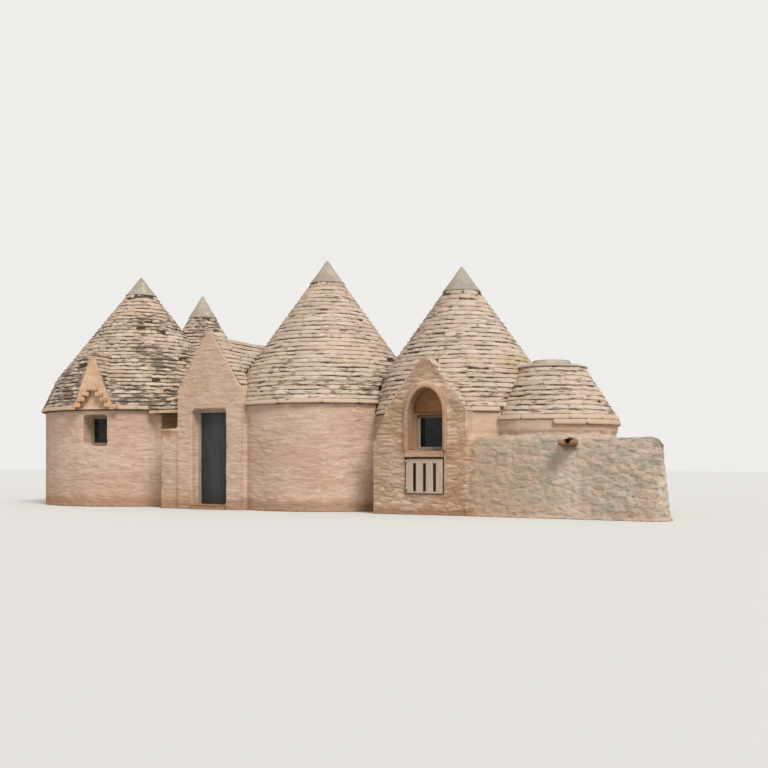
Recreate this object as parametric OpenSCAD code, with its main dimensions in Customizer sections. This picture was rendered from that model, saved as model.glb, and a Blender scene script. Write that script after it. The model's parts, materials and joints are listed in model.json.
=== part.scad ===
// Whitewashed trullo house: five round rooms and a gabled entrance under dry stone roofs.
// Origin on the axis of the main trullo, level with the lowest ground; +X runs along the front
// to the right, +Y runs inward, +Z is up. Sizes are millimetres.

/* [Main trullo] */
// Outer radius of the main drum
main_wall_r = 2050; // [2000:10:2100]
// Radius of the main room
main_room_r = 1300; // [1200:10:1350]
// Height of the main drum, up to its eave
main_wall_h = 2300; // [2280:5:2340]
// Overhang of the main eave past the wall
main_eave_out = 70; // [40:5:100]
// Radius of the main roof at the knee, where its steep skirt ends
main_knee_r = 1910; // [1860:10:1960]
// Height of that knee
main_knee_z = 3250; // [3150:10:3350]
// Height of the point of the main roof
main_apex_z = 5920; // [5700:10:6100]

/* [Middle trullo] */
// Distance from the main axis to the left, to the axis of the middle trullo
middle_x = 3750; // [3700:10:3800]
// Outer radius of the middle drum
middle_wall_r = 2300; // [2260:10:2340]
// Radius of the middle room
middle_room_r = 1400; // [1300:10:1450]
// Height of the middle drum, which the entrance walls share
middle_wall_h = 2570; // [2540:5:2600]
// Overhang of the middle eave past the wall
middle_eave_out = 100; // [60:5:130]
// Radius of the middle roof at its knee
middle_knee_r = 2150; // [2100:10:2200]
// Height of that knee
middle_knee_z = 3400; // [3300:10:3500]
// Height of the point of the middle roof
middle_apex_z = 6400; // [6200:10:6600]

/* [Left trullo] */
// Distance from the main axis to the left, to the axis of the left trullo
left_x = 10150; // [10100:10:10200]
// Distance from the main axis inward, to the axis of the left trullo
left_y = 300; // [250:10:350]
// Outer radius of the left drum
left_wall_r = 2650; // [2610:10:2690]
// Radius of the left room
left_room_r = 1900; // [1800:10:1950]
// Height of the left drum
left_wall_h = 2560; // [2540:5:2590]
// Overhang of the left eave past the wall
left_eave_out = 130; // [90:5:150]
// Radius of the left roof at its knee
left_knee_r = 2350; // [2300:10:2400]
// Height of that knee
left_knee_z = 3500; // [3400:10:3600]
// Height of the point of the left roof
left_apex_z = 6550; // [6350:10:6700]

/* [Rear trullo] */
// Distance from the main axis to the left, to the axis of the rear trullo
rear_x = 11050; // [11000:10:11100]
// Distance from the main axis inward, to the axis of the rear trullo
rear_y = 4400; // [4350:10:4450]
// Outer radius of the rear drum
rear_wall_r = 2200; // [2160:10:2240]
// Radius of the rear room
rear_room_r = 1400; // [1300:10:1450]
// Height of the rear drum
rear_wall_h = 2500; // [2480:5:2530]
// Overhang of the rear eave past the wall
rear_eave_out = 100; // [60:5:130]
// Radius of the rear roof at its knee
rear_knee_r = 1950; // [1900:10:2000]
// Height of that knee
rear_knee_z = 3400; // [3300:10:3500]
// Height of the point of the rear roof
rear_apex_z = 6700; // [6500:10:6850]

/* [Low trullo] */
// Distance from the main axis to the right, to the axis of the low trullo
low_x = 2300; // [2250:10:2350]
// Distance from the main axis outward, to the axis of the low trullo
low_y = 200; // [150:10:250]
// Outer radius of the low drum
low_wall_r = 1500; // [1470:10:1530]
// Radius of the low room
low_room_r = 870; // [820:10:900]
// Height of the low drum
low_wall_h = 2100; // [2060:5:2140]
// Overhang of the low eave past the wall
low_eave_out = 70; // [40:5:90]
// Radius of the flat top of the low roof
low_top_r = 800; // [760:10:840]
// Height of the flat top of the low roof
low_top_z = 3310; // [3260:10:3360]
// Radius of the raised plaster slab on that top
low_cap_r = 430; // [380:10:480]
// Height of the raised plaster slab above the roof
low_cap_h = 190; // [150:10:240]
// Angle from the right at which the lower eave course starts, degrees
low_drip_start = -71; // [-80:1:-60]
// Angle over which the lower eave course runs, degrees
low_drip_sweep = 135; // [120:1:150]

/* [Roofs] */
// Height of one course of roof slabs
course_h = 110; // [90:5:130]
// Radius at which the stone courses end and the plaster tip begins
tip_r = 420; // [350:10:500]
// Depth of masonry between the crown of a vault and the point of its roof
crown_depth = 1300; // [1200:10:1500]

/* [Floors and passages] */
// Thickness of the stone floors
floor_t = 100; // [80:5:120]
// Width of the arched passages between rooms
passage_w = 800; // [700:10:860]
// Height of the crown of a passage above the base
passage_h = 2050; // [1950:10:2090]

/* [Main front] */
// Distance from the main axis out to the plane of the plastered fronts
front_y = 2200; // [2180:5:2240]
// Half of the width of the main front
main_front_half = 1010; // [980:5:1040]
// Height of the truncated point of the main gable over the eave
main_gable_rise = 1200; // [1140:10:1260]
// Width of that truncated point
main_gable_top = 180; // [140:10:240]
// Thickness of the gable wall in front of the roof courses
gable_t = 300; // [280:5:320]
// Offset of the alcove to the right of the main axis
alcove_x = 30; // [10:5:50]
// Width of the alcove
alcove_w = 860; // [800:10:900]
// Distance from the eave down to the springing of the alcove arch
alcove_spring_drop = 80; // [40:10:120]
// Rise of the alcove arch from its springing to its crown
alcove_rise = 620; // [540:10:680]
// Depth of the alcove behind the front
alcove_d = 400; // [360:10:440]
// Width of the raised moulding round the alcove
moulding_w = 90; // [70:5:100]
// How far that moulding stands out from the front
moulding_out = 35; // [25:5:45]

/* [Alcove window and hatch] */
// Width of the window opening in the alcove
alcove_window_w = 800; // [740:10:830]
// Height of the sill of that opening
sill_top_z = 1440; // [1420:5:1460]
// Thickness of the stone sill
sill_t = 160; // [140:5:180]
// How far the sill stands out from the front
sill_out = 30; // [20:5:40]
// Distance from the eave down to the head of the window opening
alcove_header_h = 50; // [40:5:90]
// Width of the hatch opening under the sill
hatch_w = 930; // [900:5:950]
// Height of the foot of the hatch opening
hatch_foot_z = 460; // [420:10:500]
// Depth of the cupboard behind the hatch
hatch_d = 480; // [440:10:500]
// Distance from the front back to the face of the hatch
hatch_set = 40; // [35:1:50]
// Thickness of the hatch boards
hatch_t = 35; // [30:1:40]
// Clearance at the top of the hatch
hatch_top_gap = 15; // [10:1:20]
// Number of boards in the hatch
hatch_boards = 4; // [3:1:5]
// Width of the slots between the boards
slot_w = 65; // [55:5:75]
// Height of the rail above the slots
rail_h = 120; // [100:5:150]
// Height of the rail below the slots
foot_rail_h = 45; // [35:5:60]

/* [Left front] */
// Angle of the left window from the straight front toward the right, degrees
left_window_turn = 13; // [8:1:18]
// Width of the left window opening
left_window_w = 660; // [600:10:700]
// Height of the sill of the left window
left_sill_z = 1620; // [1580:10:1660]
// Distance from the left eave down to the head of the left window
left_header_h = 140; // [110:10:180]
// Distance from the wall face back to the left window
left_window_set = 450; // [400:10:500]
// Half of the width of the left gable at the eave
left_gable_half = 600; // [560:10:640]
// Height of the point of the left gable over the eave
left_gable_rise = 1440; // [1340:10:1520]
// Width of that truncated point
left_gable_top = 140; // [100:10:180]
// Distance that the left gable stands out from the drum
left_gable_out = 90; // [80:5:100]
// Number of corbel steps on each side of the left gable
corbel_steps = 4; // [3:1:5]
// Height of one corbel step
corbel_h = 145; // [130:5:150]

/* [Entrance] */
// Distance from the main axis to the left, to the centre of the door
door_x = 5900; // [5880:5:5920]
// Width of the door opening
door_w = 1000; // [960:10:1020]
// Thickness of the lintel over the door
lintel_h = 90; // [70:5:130]
// Distance from the front back to the door frame
door_set = 270; // [250:5:290]
// Width of the side walls of the entrance
side_wall_w = 490; // [470:5:510]
// Distance from the main axis inward, to the back of the vestibule
vestibule_back_y = 1000; // [950:10:1050]
// Thickness of the back wall of the vestibule
back_wall_t = 600; // [560:10:640]
// Height of the shoulders of the entrance gable over its walls
shoulder_rise = 430; // [330:10:530]
// Height of the truncated point of the entrance gable over its shoulders
entrance_gable_rise = 1400; // [1250:10:1500]
// Width of that truncated point
entrance_gable_top = 200; // [160:10:260]
// Thickness of the entrance gable
entrance_gable_t = 500; // [460:10:520]
// How far the entrance roof lies below the top of the gable
roof_drop = 130; // [100:10:160]
// Height of the threshold
threshold_z = 120; // [110:5:130]
// Height of the lock of the door above the floor
handle_h = 1160; // [1050:10:1200]
// How far the threshold stands out from the front
threshold_out = 80; // [60:5:100]

/* [Joinery] */
// Width of the members of the door frame
door_frame_w = 60; // [50:5:70]
// Depth of the door frame
door_frame_d = 90; // [80:5:100]
// Thickness of the door leaf
leaf_t = 50; // [45:1:55]
// Width of the members of the window frames
window_frame_w = 75; // [60:5:90]
// Depth of the window frames
window_frame_d = 60; // [50:5:70]
// Thickness of the glass
glass_t = 12; // [8:1:16]
// Running clearance round a hinged leaf
leaf_gap = 6; // [5:1:8]
// Radius of the hinge knuckles
knuckle_r = 10; // [8:1:12]
// Length of one hinge knuckle
knuckle_l = 50; // [40:5:60]

/* [Bank and spouts] */
// Height of the battered bank where it starts beside the main front
bank_z = 1800; // [1750:10:1850]
// Fall of the top of the bank over its length
bank_fall = 90; // [60:10:120]
// Distance from the main axis to the right, to the foot of the end of the bank
bank_end_x = 5540; // [5470:10:5610]
// Distance from the main axis out to the foot of the bank at its right end
bank_foot_y = 2600; // [2540:10:2660]
// Distance from the main axis inward, to the back foot of the bank
bank_back_y = 1200; // [1150:10:1300]
// Batter of the faces of the bank over their height
bank_batter = 180; // [150:10:210]
// Radius of the rounded top edges of the bank
bank_round = 240; // [200:10:280]
// Angle by which the end of the bank turns in toward its back, degrees
bank_end_turn = 14; // [11:1:17]
// Radius of the corners of that end in plan
bank_corner_r = 500; // [450:10:550]
// Distance from the main eave down to the outer edge of the shoulder left of the main front
shoulder_drop = 660; // [600:10:720]
// Width of that shoulder
shoulder_w = 290; // [250:10:320]
// Distance from the main axis to the right, to the rain spout
spout_x = 3320; // [3200:10:3440]
// Height of the underside of the rain spout
spout_z = 1500; // [1470:5:1530]
// Width of the rain spout
spout_w = 350; // [310:10:380]
// Height of the rain spout
spout_h = 150; // [130:5:160]
// Length of the rain spout
spout_l = 620; // [580:10:660]
// Length of the rain spout that is built into the bank
spout_in = 300; // [280:10:320]
// Height of the lip of the valley spout beside the entrance
valley_z = 2050; // [2000:10:2100]
// Distance from the entrance to the left end of the valley wall
valley_w = 560; // [520:10:600]
// Fall of the valley roof from the entrance to the left drum
valley_fall = 250; // [200:10:300]
// Run of that fall
valley_run = 1200; // [1100:10:1300]

/* [Hidden] */
$fn = 256;

alcove_spring_z = main_wall_h - alcove_spring_drop;
alcove_crown_z = alcove_spring_z + alcove_rise;
alcove_window_top = main_wall_h - alcove_header_h;
main_gable_z = main_wall_h + main_gable_rise;
left_head_z = left_wall_h - left_header_h;
left_gable_z = left_wall_h + left_gable_rise;
door_top_z = middle_wall_h - lintel_h;
shoulder_z = middle_wall_h + shoulder_rise;
entrance_gable_z = shoulder_z + entrance_gable_rise;

// Clearance between curved faces of neighbouring masonry
fit = 0.5;
// Clearance between a hinge knuckle and the next
knuckle_gap = 0.3;
// Amount by which a cutting shape passes the face that it cuts
over = 10;

plaster = [0.93, 0.88, 0.80];
slab = [0.78, 0.74, 0.66];
rubble = [0.80, 0.75, 0.67];
paving = [0.74, 0.70, 0.62];
joinery = [0.80, 0.82, 0.80];
door_grey = [0.36, 0.38, 0.40];
board = [0.90, 0.85, 0.72];
iron = [0.25, 0.25, 0.26];
glazing = [0.35, 0.45, 0.50, 0.5];

// A trullo is [centre, wall radius, room radius, wall height, eave radius, knee radius,
// knee height, apex height, height where the stone courses end]
function trullo(c, wall, room, h, out, knee_r, knee_z, apex) =
    [c, wall, room, h, wall + out, knee_r, knee_z, apex,
     h + course_h * floor((apex - tip_r * (apex - knee_z) / knee_r - h) / course_h)];
main_t = trullo([0, 0], main_wall_r, main_room_r, main_wall_h, main_eave_out,
                main_knee_r, main_knee_z, main_apex_z);
middle_t = trullo([-middle_x, 0], middle_wall_r, middle_room_r, middle_wall_h, middle_eave_out,
                  middle_knee_r, middle_knee_z, middle_apex_z);
left_t = trullo([-left_x, left_y], left_wall_r, left_room_r, left_wall_h, left_eave_out,
                left_knee_r, left_knee_z, left_apex_z);
rear_t = trullo([-rear_x, rear_y], rear_wall_r, rear_room_r, rear_wall_h, rear_eave_out,
                rear_knee_r, rear_knee_z, rear_apex_z);
low_t = [[low_x, -low_y], low_wall_r, low_room_r, low_wall_h, low_wall_r + low_eave_out,
         low_top_r, low_top_z, low_top_z + low_top_r, low_top_z];

// Radius of the roof of a trullo at a height
function roof_r(t, z) = z < t[6]
    ? t[4] + (t[5] - t[4]) * (z - t[3]) / (t[6] - t[3])
    : t[5] * (t[7] - z) / (t[7] - t[6]);

// Outline of the stepped courses of a roof, from its eave up, let out by a clearance
function course_count(t) = round((t[8] - t[3]) / course_h);
function course_step(t) = (t[8] - t[3]) / course_count(t);
function course_outline(t, let_out) =
    [for (i = [0 : course_count(t) - 1], top = [0, 1])
        [roof_r(t, t[3] + (i + 0.5) * course_step(t)) + let_out,
         t[3] + (i + top) * course_step(t)]];

// Pointed vault over a room: its arcs are centred past the axis at the springing
function vault_rise(t) = (t[7] - t[3]) - crown_depth;
function vault_offset(t, rise) = (rise * rise - t[2] * t[2]) / (2 * t[2]);
function vault_outline(t, rise) =
    let (c = vault_offset(t, rise), last = atan2(rise, c))
    [for (i = [0 : 8]) [(t[2] + c) * cos(last * i / 8) - c, t[3] + (t[2] + c) * sin(last * i / 8)]];

module at(t) { translate([t[0].x, t[0].y, 0]) children(); }

module mass(t, let_out = fit) {
    at(t) rotate_extrude()
        polygon(concat([[0, -over], [t[1] + let_out, -over], [t[1] + let_out, t[3]]],
                       course_outline(t, let_out), [[0, t[8]]]));
}

module coursed_roof(t) {
    at(t) rotate_extrude() polygon(concat([[0, t[3]]], course_outline(t, 0), [[0, t[8]]]));
}

module vault(t, rise) {
    at(t) rotate_extrude()
        polygon(concat([[0, t[3] - over], [t[2], t[3] - over]], vault_outline(t, rise)));
}

module roof_tip(t) {
    base = roof_r(t, t[8]);
    rise = t[7] - t[8];
    at(t) rotate_extrude()
        polygon([[0, t[8]], [base, t[8]], [base * 0.98, t[8] + rise * 0.06],
                 [base * 0.5, t[8] + rise * 0.52], [base * 0.16, t[8] + rise * 0.88],
                 [base * 0.08, t[8] + rise * 0.96], [0, t[8] + rise]]);
}

function wedge(a0, a1, r) =
    concat([[0, 0]], [for (i = [0 : 6]) let (a = a0 + (a1 - a0) * i / 6) 2 * r * [cos(a), sin(a)]]);

// Part of a drum wall between two angles
module drum(t, a0, a1) {
    at(t) linear_extrude(t[3]) intersection() {
        difference() {
            circle(t[1]);
            circle(t[2]);
        }
        polygon(wedge(a0, a1, t[1]));
    }
}

// Arch with upright sides: half of an ellipse over its springing
function arch(w, spring, crown) =
    concat([[-w / 2, -over], [w / 2, -over]],
           [for (i = [0 : 12]) let (a = 180 * i / 12)
               [w / 2 * cos(a), spring + (crown - spring) * sin(a)]]);

passage_spring = passage_h - passage_w / 2;
module passage(a, b) {
    d = b - a;
    translate([a.x, a.y, 0]) rotate([0, 0, atan2(d.y, d.x)]) rotate([90, 0, 90])
        linear_extrude(norm(d)) polygon(arch(passage_w, passage_spring, passage_h));
}
module passage_floor(a, b) {
    d = b - a;
    translate(a) rotate(atan2(d.y, d.x)) translate([0, -passage_w / 2 + fit])
        square([norm(d), passage_w - 2 * fit]);
}

// The vestibule behind the door
vestibule_left = -door_x - door_w / 2;
vestibule_right = -door_x + door_w / 2;
entrance_left = vestibule_left - side_wall_w;
entrance_right = vestibule_right + side_wall_w;
entrance_back = vestibule_back_y + back_wall_t;
entrance_h = middle_wall_h;
module vestibule() {
    translate([vestibule_left, -front_y - over, -over])
        cube([door_w, front_y + over + vestibule_back_y, entrance_h + 2 * over]);
}
module main_to_middle() { passage(main_t[0], middle_t[0]); }
module main_to_low() { passage(main_t[0], low_t[0]); }
module middle_to_vestibule() { passage(middle_t[0], [-door_x, 0]); }
module left_to_vestibule() { passage([-left_x, 0], [-door_x, 0]); }
module left_to_rear() { passage(left_t[0], rear_t[0]); }

// Main front: a flat block over the drum with an arched alcove over a hatch
alcove_l = alcove_x - alcove_w / 2;
alcove_r = alcove_x + alcove_w / 2;
hatch_r = alcove_r;
hatch_l = hatch_r - hatch_w;
sill_foot_z = sill_top_z - sill_t;
module front_block() {
    linear_extrude(main_wall_h) difference() {
        translate([-main_front_half, -front_y]) square([2 * main_front_half, front_y]);
        circle(main_room_r);
    }
}
module alcove() {
    translate([alcove_x, -front_y + alcove_d, sill_top_z]) rotate([90, 0, 0])
        linear_extrude(alcove_d + moulding_out + over)
            polygon([for (p = arch(alcove_w, alcove_spring_z - sill_top_z,
                                   alcove_crown_z - sill_top_z)) [p.x, max(p.y, 0)]]);
}
module hatch_recess() {
    translate([hatch_l, -front_y - over, hatch_foot_z])
        cube([hatch_w, hatch_d + over, sill_foot_z - hatch_foot_z]);
}
module sill_block() {
    translate([hatch_l, -front_y - sill_out, sill_foot_z]) cube([hatch_w, alcove_d + sill_out, sill_t]);
}

module main_left_wall() {
    color(plaster) difference() {
        drum(main_t, 150, 262);
        front_region();
        main_to_middle();
    }
}
module main_rear_wall() { color(plaster) drum(main_t, 30, 150); }
module main_right_wall() {
    color(plaster) difference() {
        drum(main_t, -82, 30);
        front_region();
        main_to_low();
    }
}
module front_region() {
    translate([-main_front_half, -front_y, -over])
        cube([2 * main_front_half, front_y, main_wall_h + 2 * over]);
}
module front_side(x0, x1) {
    color(plaster) difference() {
        intersection() {
            front_block();
            translate([x0, -front_y, 0]) cube([x1 - x0, front_y, main_wall_h]);
        }
        alcove();
        hatch_recess();
        sill_block();
    }
}
module main_front_left() { front_side(-main_front_half, alcove_l); }
module main_front_right() { front_side(alcove_r, main_front_half); }
module alcove_wall() {
    color(plaster) difference() {
        intersection() {
            front_block();
            translate([alcove_l, -front_y, 0]) cube([alcove_w, front_y, main_wall_h]);
        }
        alcove();
        hatch_recess();
        sill_block();
        translate([alcove_x - alcove_window_w / 2, -front_y, sill_top_z])
            cube([alcove_window_w, front_y, alcove_window_top - sill_top_z]);
    }
}

// Depth of the saddle that ties the main gable back into the courses
main_saddle_d = 450;
// Depth to which the left gable is built into the roof, and its saddle above that
left_gable_in = 200;
left_saddle_in = 750;

// A gable front: a wall with steep sides and a truncated point
function gable(half, z0, z_side, z1, top) =
    [[-half, z0], [half, z0], [half, z_side], [top / 2, z1], [-top / 2, z1], [-half, z_side]];
module upright(y0, y1) { translate([0, y1, 0]) rotate([90, 0, 0]) linear_extrude(y1 - y0) children(); }

module main_gable_wall() {
    upright(-front_y, -front_y + gable_t)
        polygon(gable(main_front_half, main_wall_h, main_wall_h + over, main_gable_z, main_gable_top));
}
module main_gable() {
    color(plaster) difference() {
        union() {
            main_gable_wall();
            difference() {
                upright(-front_y + gable_t, -front_y + gable_t + main_saddle_d)
                    polygon(gable(main_front_half, main_wall_h, main_wall_h + over,
                                  main_gable_z, main_gable_top));
                mass(main_t);
            }
        }
        alcove();
    }
}
module alcove_moulding() {
    color(plaster) difference() {
        translate([alcove_x, -front_y, sill_top_z]) rotate([90, 0, 0]) linear_extrude(moulding_out)
            polygon([for (p = arch(alcove_w + 2 * moulding_w, alcove_spring_z - sill_top_z,
                                   alcove_crown_z - sill_top_z + moulding_w))
                        [p.x, max(p.y, 0)]]);
        alcove();
    }
}
module alcove_sill() { color(rubble) sill_block(); }

// A window: a frame of four members round one sheet of glass, its face at y = 0
module frame(w, h) {
    difference() {
        cube([w, window_frame_d, h]);
        translate([window_frame_w, -over, window_frame_w])
            cube([w - 2 * window_frame_w, window_frame_d + 2 * over, h - 2 * window_frame_w]);
    }
}
module pane(w, h) {
    translate([window_frame_w, (window_frame_d - glass_t) / 2, window_frame_w])
        cube([w - 2 * window_frame_w, glass_t, h - 2 * window_frame_w]);
}
alcove_frame_set = 40;
module at_alcove_window() {
    translate([alcove_x - alcove_window_w / 2, -front_y + alcove_d + alcove_frame_set, sill_top_z])
        children();
}

// The hatch: boards with open slots between two rails, hinged at its left edge
panel_l = hatch_l + leaf_gap;
panel_w = hatch_w - 2 * leaf_gap;
panel_z = hatch_foot_z + hatch_top_gap;
panel_h = sill_foot_z - hatch_top_gap - panel_z;
hatch_face_y = -front_y + hatch_set;
board_w = (panel_w - (hatch_boards - 1) * slot_w) / hatch_boards;
hatch_pin = [hatch_l + knuckle_r + 1, hatch_face_y - knuckle_r - 1];
hinge_heights = [0.12, 0.88];
module knuckle(pin, z, l) { translate([pin.x, pin.y, z]) cylinder(r = knuckle_r, h = l); }
module hatch_panel() {
    color(board) difference() {
        union() {
            translate([panel_l, hatch_face_y, panel_z]) cube([panel_w, hatch_t, panel_h]);
            for (k = hinge_heights) {
                knuckle(hatch_pin, panel_z + k * panel_h, knuckle_l);
                translate([hatch_pin.x, hatch_pin.y, panel_z + k * panel_h])
                    cube([knuckle_l, knuckle_r + 2, knuckle_l]);
            }
        }
        for (i = [1 : hatch_boards - 1])
            translate([panel_l + i * board_w + (i - 1) * slot_w, hatch_face_y - over, panel_z + foot_rail_h])
                cube([slot_w, hatch_t + 2 * over, panel_h - rail_h - foot_rail_h]);
    }
}

module hatch_pintles() {
    color(iron) for (k = hinge_heights) {
        z = panel_z + k * panel_h - knuckle_l - knuckle_gap;
        knuckle(hatch_pin, z, knuckle_l);
        translate([hatch_l, hatch_pin.y - knuckle_r / 2, z])
            cube([hatch_pin.x - hatch_l, knuckle_r, knuckle_l]);
    }
}

module main_roof() {
    color(slab) difference() {
        coursed_roof(main_t);
        vault(main_t, vault_rise(main_t));
        main_gable_wall();
        alcove();
    }
}
module roof_tips() { color(plaster) for (t = [main_t, middle_t, left_t, rear_t]) roof_tip(t); }

module middle_wall(a0, a1) {
    color(plaster) difference() {
        drum(middle_t, a0, a1);
        mass(main_t);
        vestibule();
        main_to_middle();
        middle_to_vestibule();
    }
}
module middle_front_wall() { middle_wall(200, 335); }
module middle_left_wall() { middle_wall(150, 200); }
module middle_rear_wall() { middle_wall(25, 150); }
module middle_right_wall() { middle_wall(-25, 25); }
module middle_roof() {
    color(slab) difference() {
        coursed_roof(middle_t);
        vault(middle_t, vault_rise(middle_t));
        mass(main_t);
        entrance_gable_wall(fit);
    }
}

// Left trullo: the window and the gable above it share one turned frame
module at_left_window() { at(left_t) rotate(left_window_turn) children(); }
module left_wall(a0, a1) {
    color(plaster) difference() {
        drum(left_t, a0, a1);
        left_to_vestibule();
        left_to_rear();
        at_left_window() translate([-left_window_w / 2, -left_wall_r - over, left_sill_z])
            cube([left_window_w, left_wall_r, left_head_z - left_sill_z]);
    }
}
module left_front_wall() { left_wall(235, 325); }
module left_side_wall() { left_wall(145, 235); }
module left_rear_wall() { left_wall(40, 145); }
module left_entry_wall() { left_wall(-35, 40); }
module at_left_frame() {
    at_left_window() translate([-left_window_w / 2, -left_wall_r + left_window_set, left_sill_z])
        children();
}
module window_frames() {
    color(joinery) {
        at_alcove_window() frame(alcove_window_w, alcove_window_top - sill_top_z);
        at_left_frame() frame(left_window_w, left_head_z - left_sill_z);
    }
}
module window_panes() {
    color(glazing) {
        at_alcove_window() pane(alcove_window_w, alcove_window_top - sill_top_z);
        at_left_frame() pane(left_window_w, left_head_z - left_sill_z);
    }
}
left_gable_front = left_wall_r + left_gable_out;
module left_gable_wall(back) {
    at_left_window() upright(-left_gable_front, -back)
        polygon(gable(left_gable_half, left_wall_h + fit, left_wall_h + over, left_gable_z, left_gable_top));
}
module left_gable() {
    color(plaster) difference() {
        union() {
            left_gable_wall(left_wall_r - left_gable_in);
            difference() {
                left_gable_wall(left_wall_r - left_saddle_in);
                mass(left_t);
            }
        }
        at_left_window() for (i = [0 : corbel_steps - 1])
            let (half = left_gable_half * (corbel_steps - i) / (corbel_steps + 0.6))
                translate([-half, -left_gable_front - over, left_wall_h - over + i * corbel_h])
                    cube([2 * half, left_gable_out + over, corbel_h + over]);
    }
}
module left_roof() {
    color(slab) difference() {
        coursed_roof(left_t);
        vault(left_t, vault_rise(left_t));
        left_gable_wall(left_wall_r - left_gable_in);
        at_left_window() translate([-left_gable_half, -left_gable_front - left_gable_in, left_wall_h - over])
            cube([2 * left_gable_half, left_gable_in, course_h + 2 * over]);
    }
}

module rear_wall(a0, a1) {
    color(plaster) difference() {
        drum(rear_t, a0, a1);
        mass(left_t);
        left_to_rear();
    }
}
module rear_near_wall() { rear_wall(-135, -20); }
module rear_right_wall() { rear_wall(-20, 105); }
module rear_left_wall() { rear_wall(105, 225); }
module rear_roof() {
    color(slab) difference() {
        coursed_roof(rear_t);
        vault(rear_t, vault_rise(rear_t));
        mass(left_t);
    }
}

module low_wall(a0, a1) {
    color(plaster) difference() {
        drum(low_t, a0, a1);
        mass(main_t);
    }
}
module low_front_wall() { low_wall(180, 360); }
module low_rear_wall() { low_wall(0, 180); }
low_roof_t = 200;
low_vault_rise = low_top_z - low_wall_h - low_roof_t;
// One more eave course, lower than the rest, round the front and right of the low drum
module low_drip_course() {
    at(low_t) translate([0, 0, low_wall_h - course_h]) linear_extrude(course_h) intersection() {
        difference() {
            circle(low_t[4]);
            circle(low_wall_r + fit);
        }
        polygon(wedge(low_drip_start, low_drip_start + low_drip_sweep, low_wall_r));
    }
}
module low_roof() {
    color(slab) difference() {
        union() {
            coursed_roof(low_t);
            low_drip_course();
        }
        at(low_t) translate([0, 0, low_wall_h - over])
            cylinder(r1 = low_room_r, r2 = low_top_r / 3, h = low_vault_rise + over);
        mass(main_t);
    }
}
module low_roof_cap() {
    top_r = roof_r(low_t, low_top_z - course_step(low_t) / 2);
    color(plaster) difference() {
        at(low_t) translate([0, 0, low_top_z]) rotate_extrude()
            polygon([[0, 0], [top_r, 0], [top_r - 30, low_cap_h * 0.2], [top_r - 130, low_cap_h * 0.4],
                     [low_cap_r + 40, low_cap_h * 0.55], [low_cap_r, low_cap_h], [0, low_cap_h]]);
        mass(main_t);
    }
}

// Entrance: two side walls, a lintel, a tall gable and a saddle roof between two cones
module entrance_left_wall() {
    color(plaster) difference() {
        translate([entrance_left, -front_y, 0]) cube([side_wall_w, front_y + entrance_back, entrance_h]);
        left_to_vestibule();
    }
}
// Depth at which the right wall has run wholly into the middle drum
right_wall_d = 1000;
module entrance_right_wall() {
    color(plaster) difference() {
        translate([vestibule_right, -front_y, 0]) cube([side_wall_w, right_wall_d, entrance_h]);
        mass(middle_t);
    }
}
module entrance_rear_wall() {
    color(plaster) difference() {
        translate([vestibule_left, vestibule_back_y, 0]) cube([door_w, back_wall_t, entrance_h]);
        mass(middle_t);
    }
}
module entrance_lintel() {
    color(plaster) translate([vestibule_left, -front_y, door_top_z])
        cube([door_w, entrance_gable_t, entrance_h - door_top_z]);
}
module entrance_gable_wall(let_out) {
    translate([-door_x, 0, 0]) upright(-front_y, -front_y + entrance_gable_t + let_out)
        polygon(gable(door_w / 2 + side_wall_w + let_out, entrance_h, shoulder_z,
                      entrance_gable_z, entrance_gable_top + 2 * let_out));
}
module entrance_gable() { color(plaster) entrance_gable_wall(0); }
module entrance_roof() {
    color(slab) difference() {
        translate([-door_x, 0, 0]) upright(-front_y + entrance_gable_t, entrance_back)
            polygon(gable(door_w / 2 + side_wall_w, entrance_h, shoulder_z - roof_drop,
                          entrance_gable_z - roof_drop, entrance_gable_top));
        mass(middle_t);
    }
}

// The door: a three sided frame and a plank leaf hinged on its right, opening inward
frame_y = -front_y + door_set;
leaf_back_y = frame_y + door_frame_d;
leaf_l = vestibule_left + door_frame_w + leaf_gap;
leaf_r = vestibule_right - door_frame_w - leaf_gap;
leaf_z = threshold_z + leaf_gap;
leaf_h = door_top_z - door_frame_w - leaf_gap - leaf_z;
door_pin = [leaf_r + leaf_gap / 2, leaf_back_y + knuckle_r + 1];
door_hinges = [0.1, 0.5, 0.86];
module door_frame() {
    color(joinery) union() {
        difference() {
            translate([vestibule_left, frame_y, threshold_z])
                cube([door_w, door_frame_d, door_top_z - threshold_z]);
            translate([vestibule_left + door_frame_w, frame_y - over, threshold_z - over])
                cube([door_w - 2 * door_frame_w, door_frame_d + 2 * over,
                      door_top_z - threshold_z - door_frame_w + over]);
        }
        for (k = door_hinges) {
            z = leaf_z + k * leaf_h - knuckle_l - knuckle_gap;
            knuckle(door_pin, z, knuckle_l);
            translate([door_pin.x, leaf_back_y - 1, z]) cube([knuckle_l, knuckle_r + 2, knuckle_l]);
        }
    }
}
module door_leaf() {
    color(door_grey) union() {
        translate([leaf_l, leaf_back_y - leaf_t, leaf_z]) cube([leaf_r - leaf_l, leaf_t, leaf_h]);
        for (k = door_hinges) {
            z = leaf_z + k * leaf_h;
            knuckle(door_pin, z, knuckle_l);
            translate([door_pin.x - knuckle_l, leaf_back_y - 1, z])
                cube([knuckle_l, knuckle_r + 2, knuckle_l]);
        }
    }
}
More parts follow.
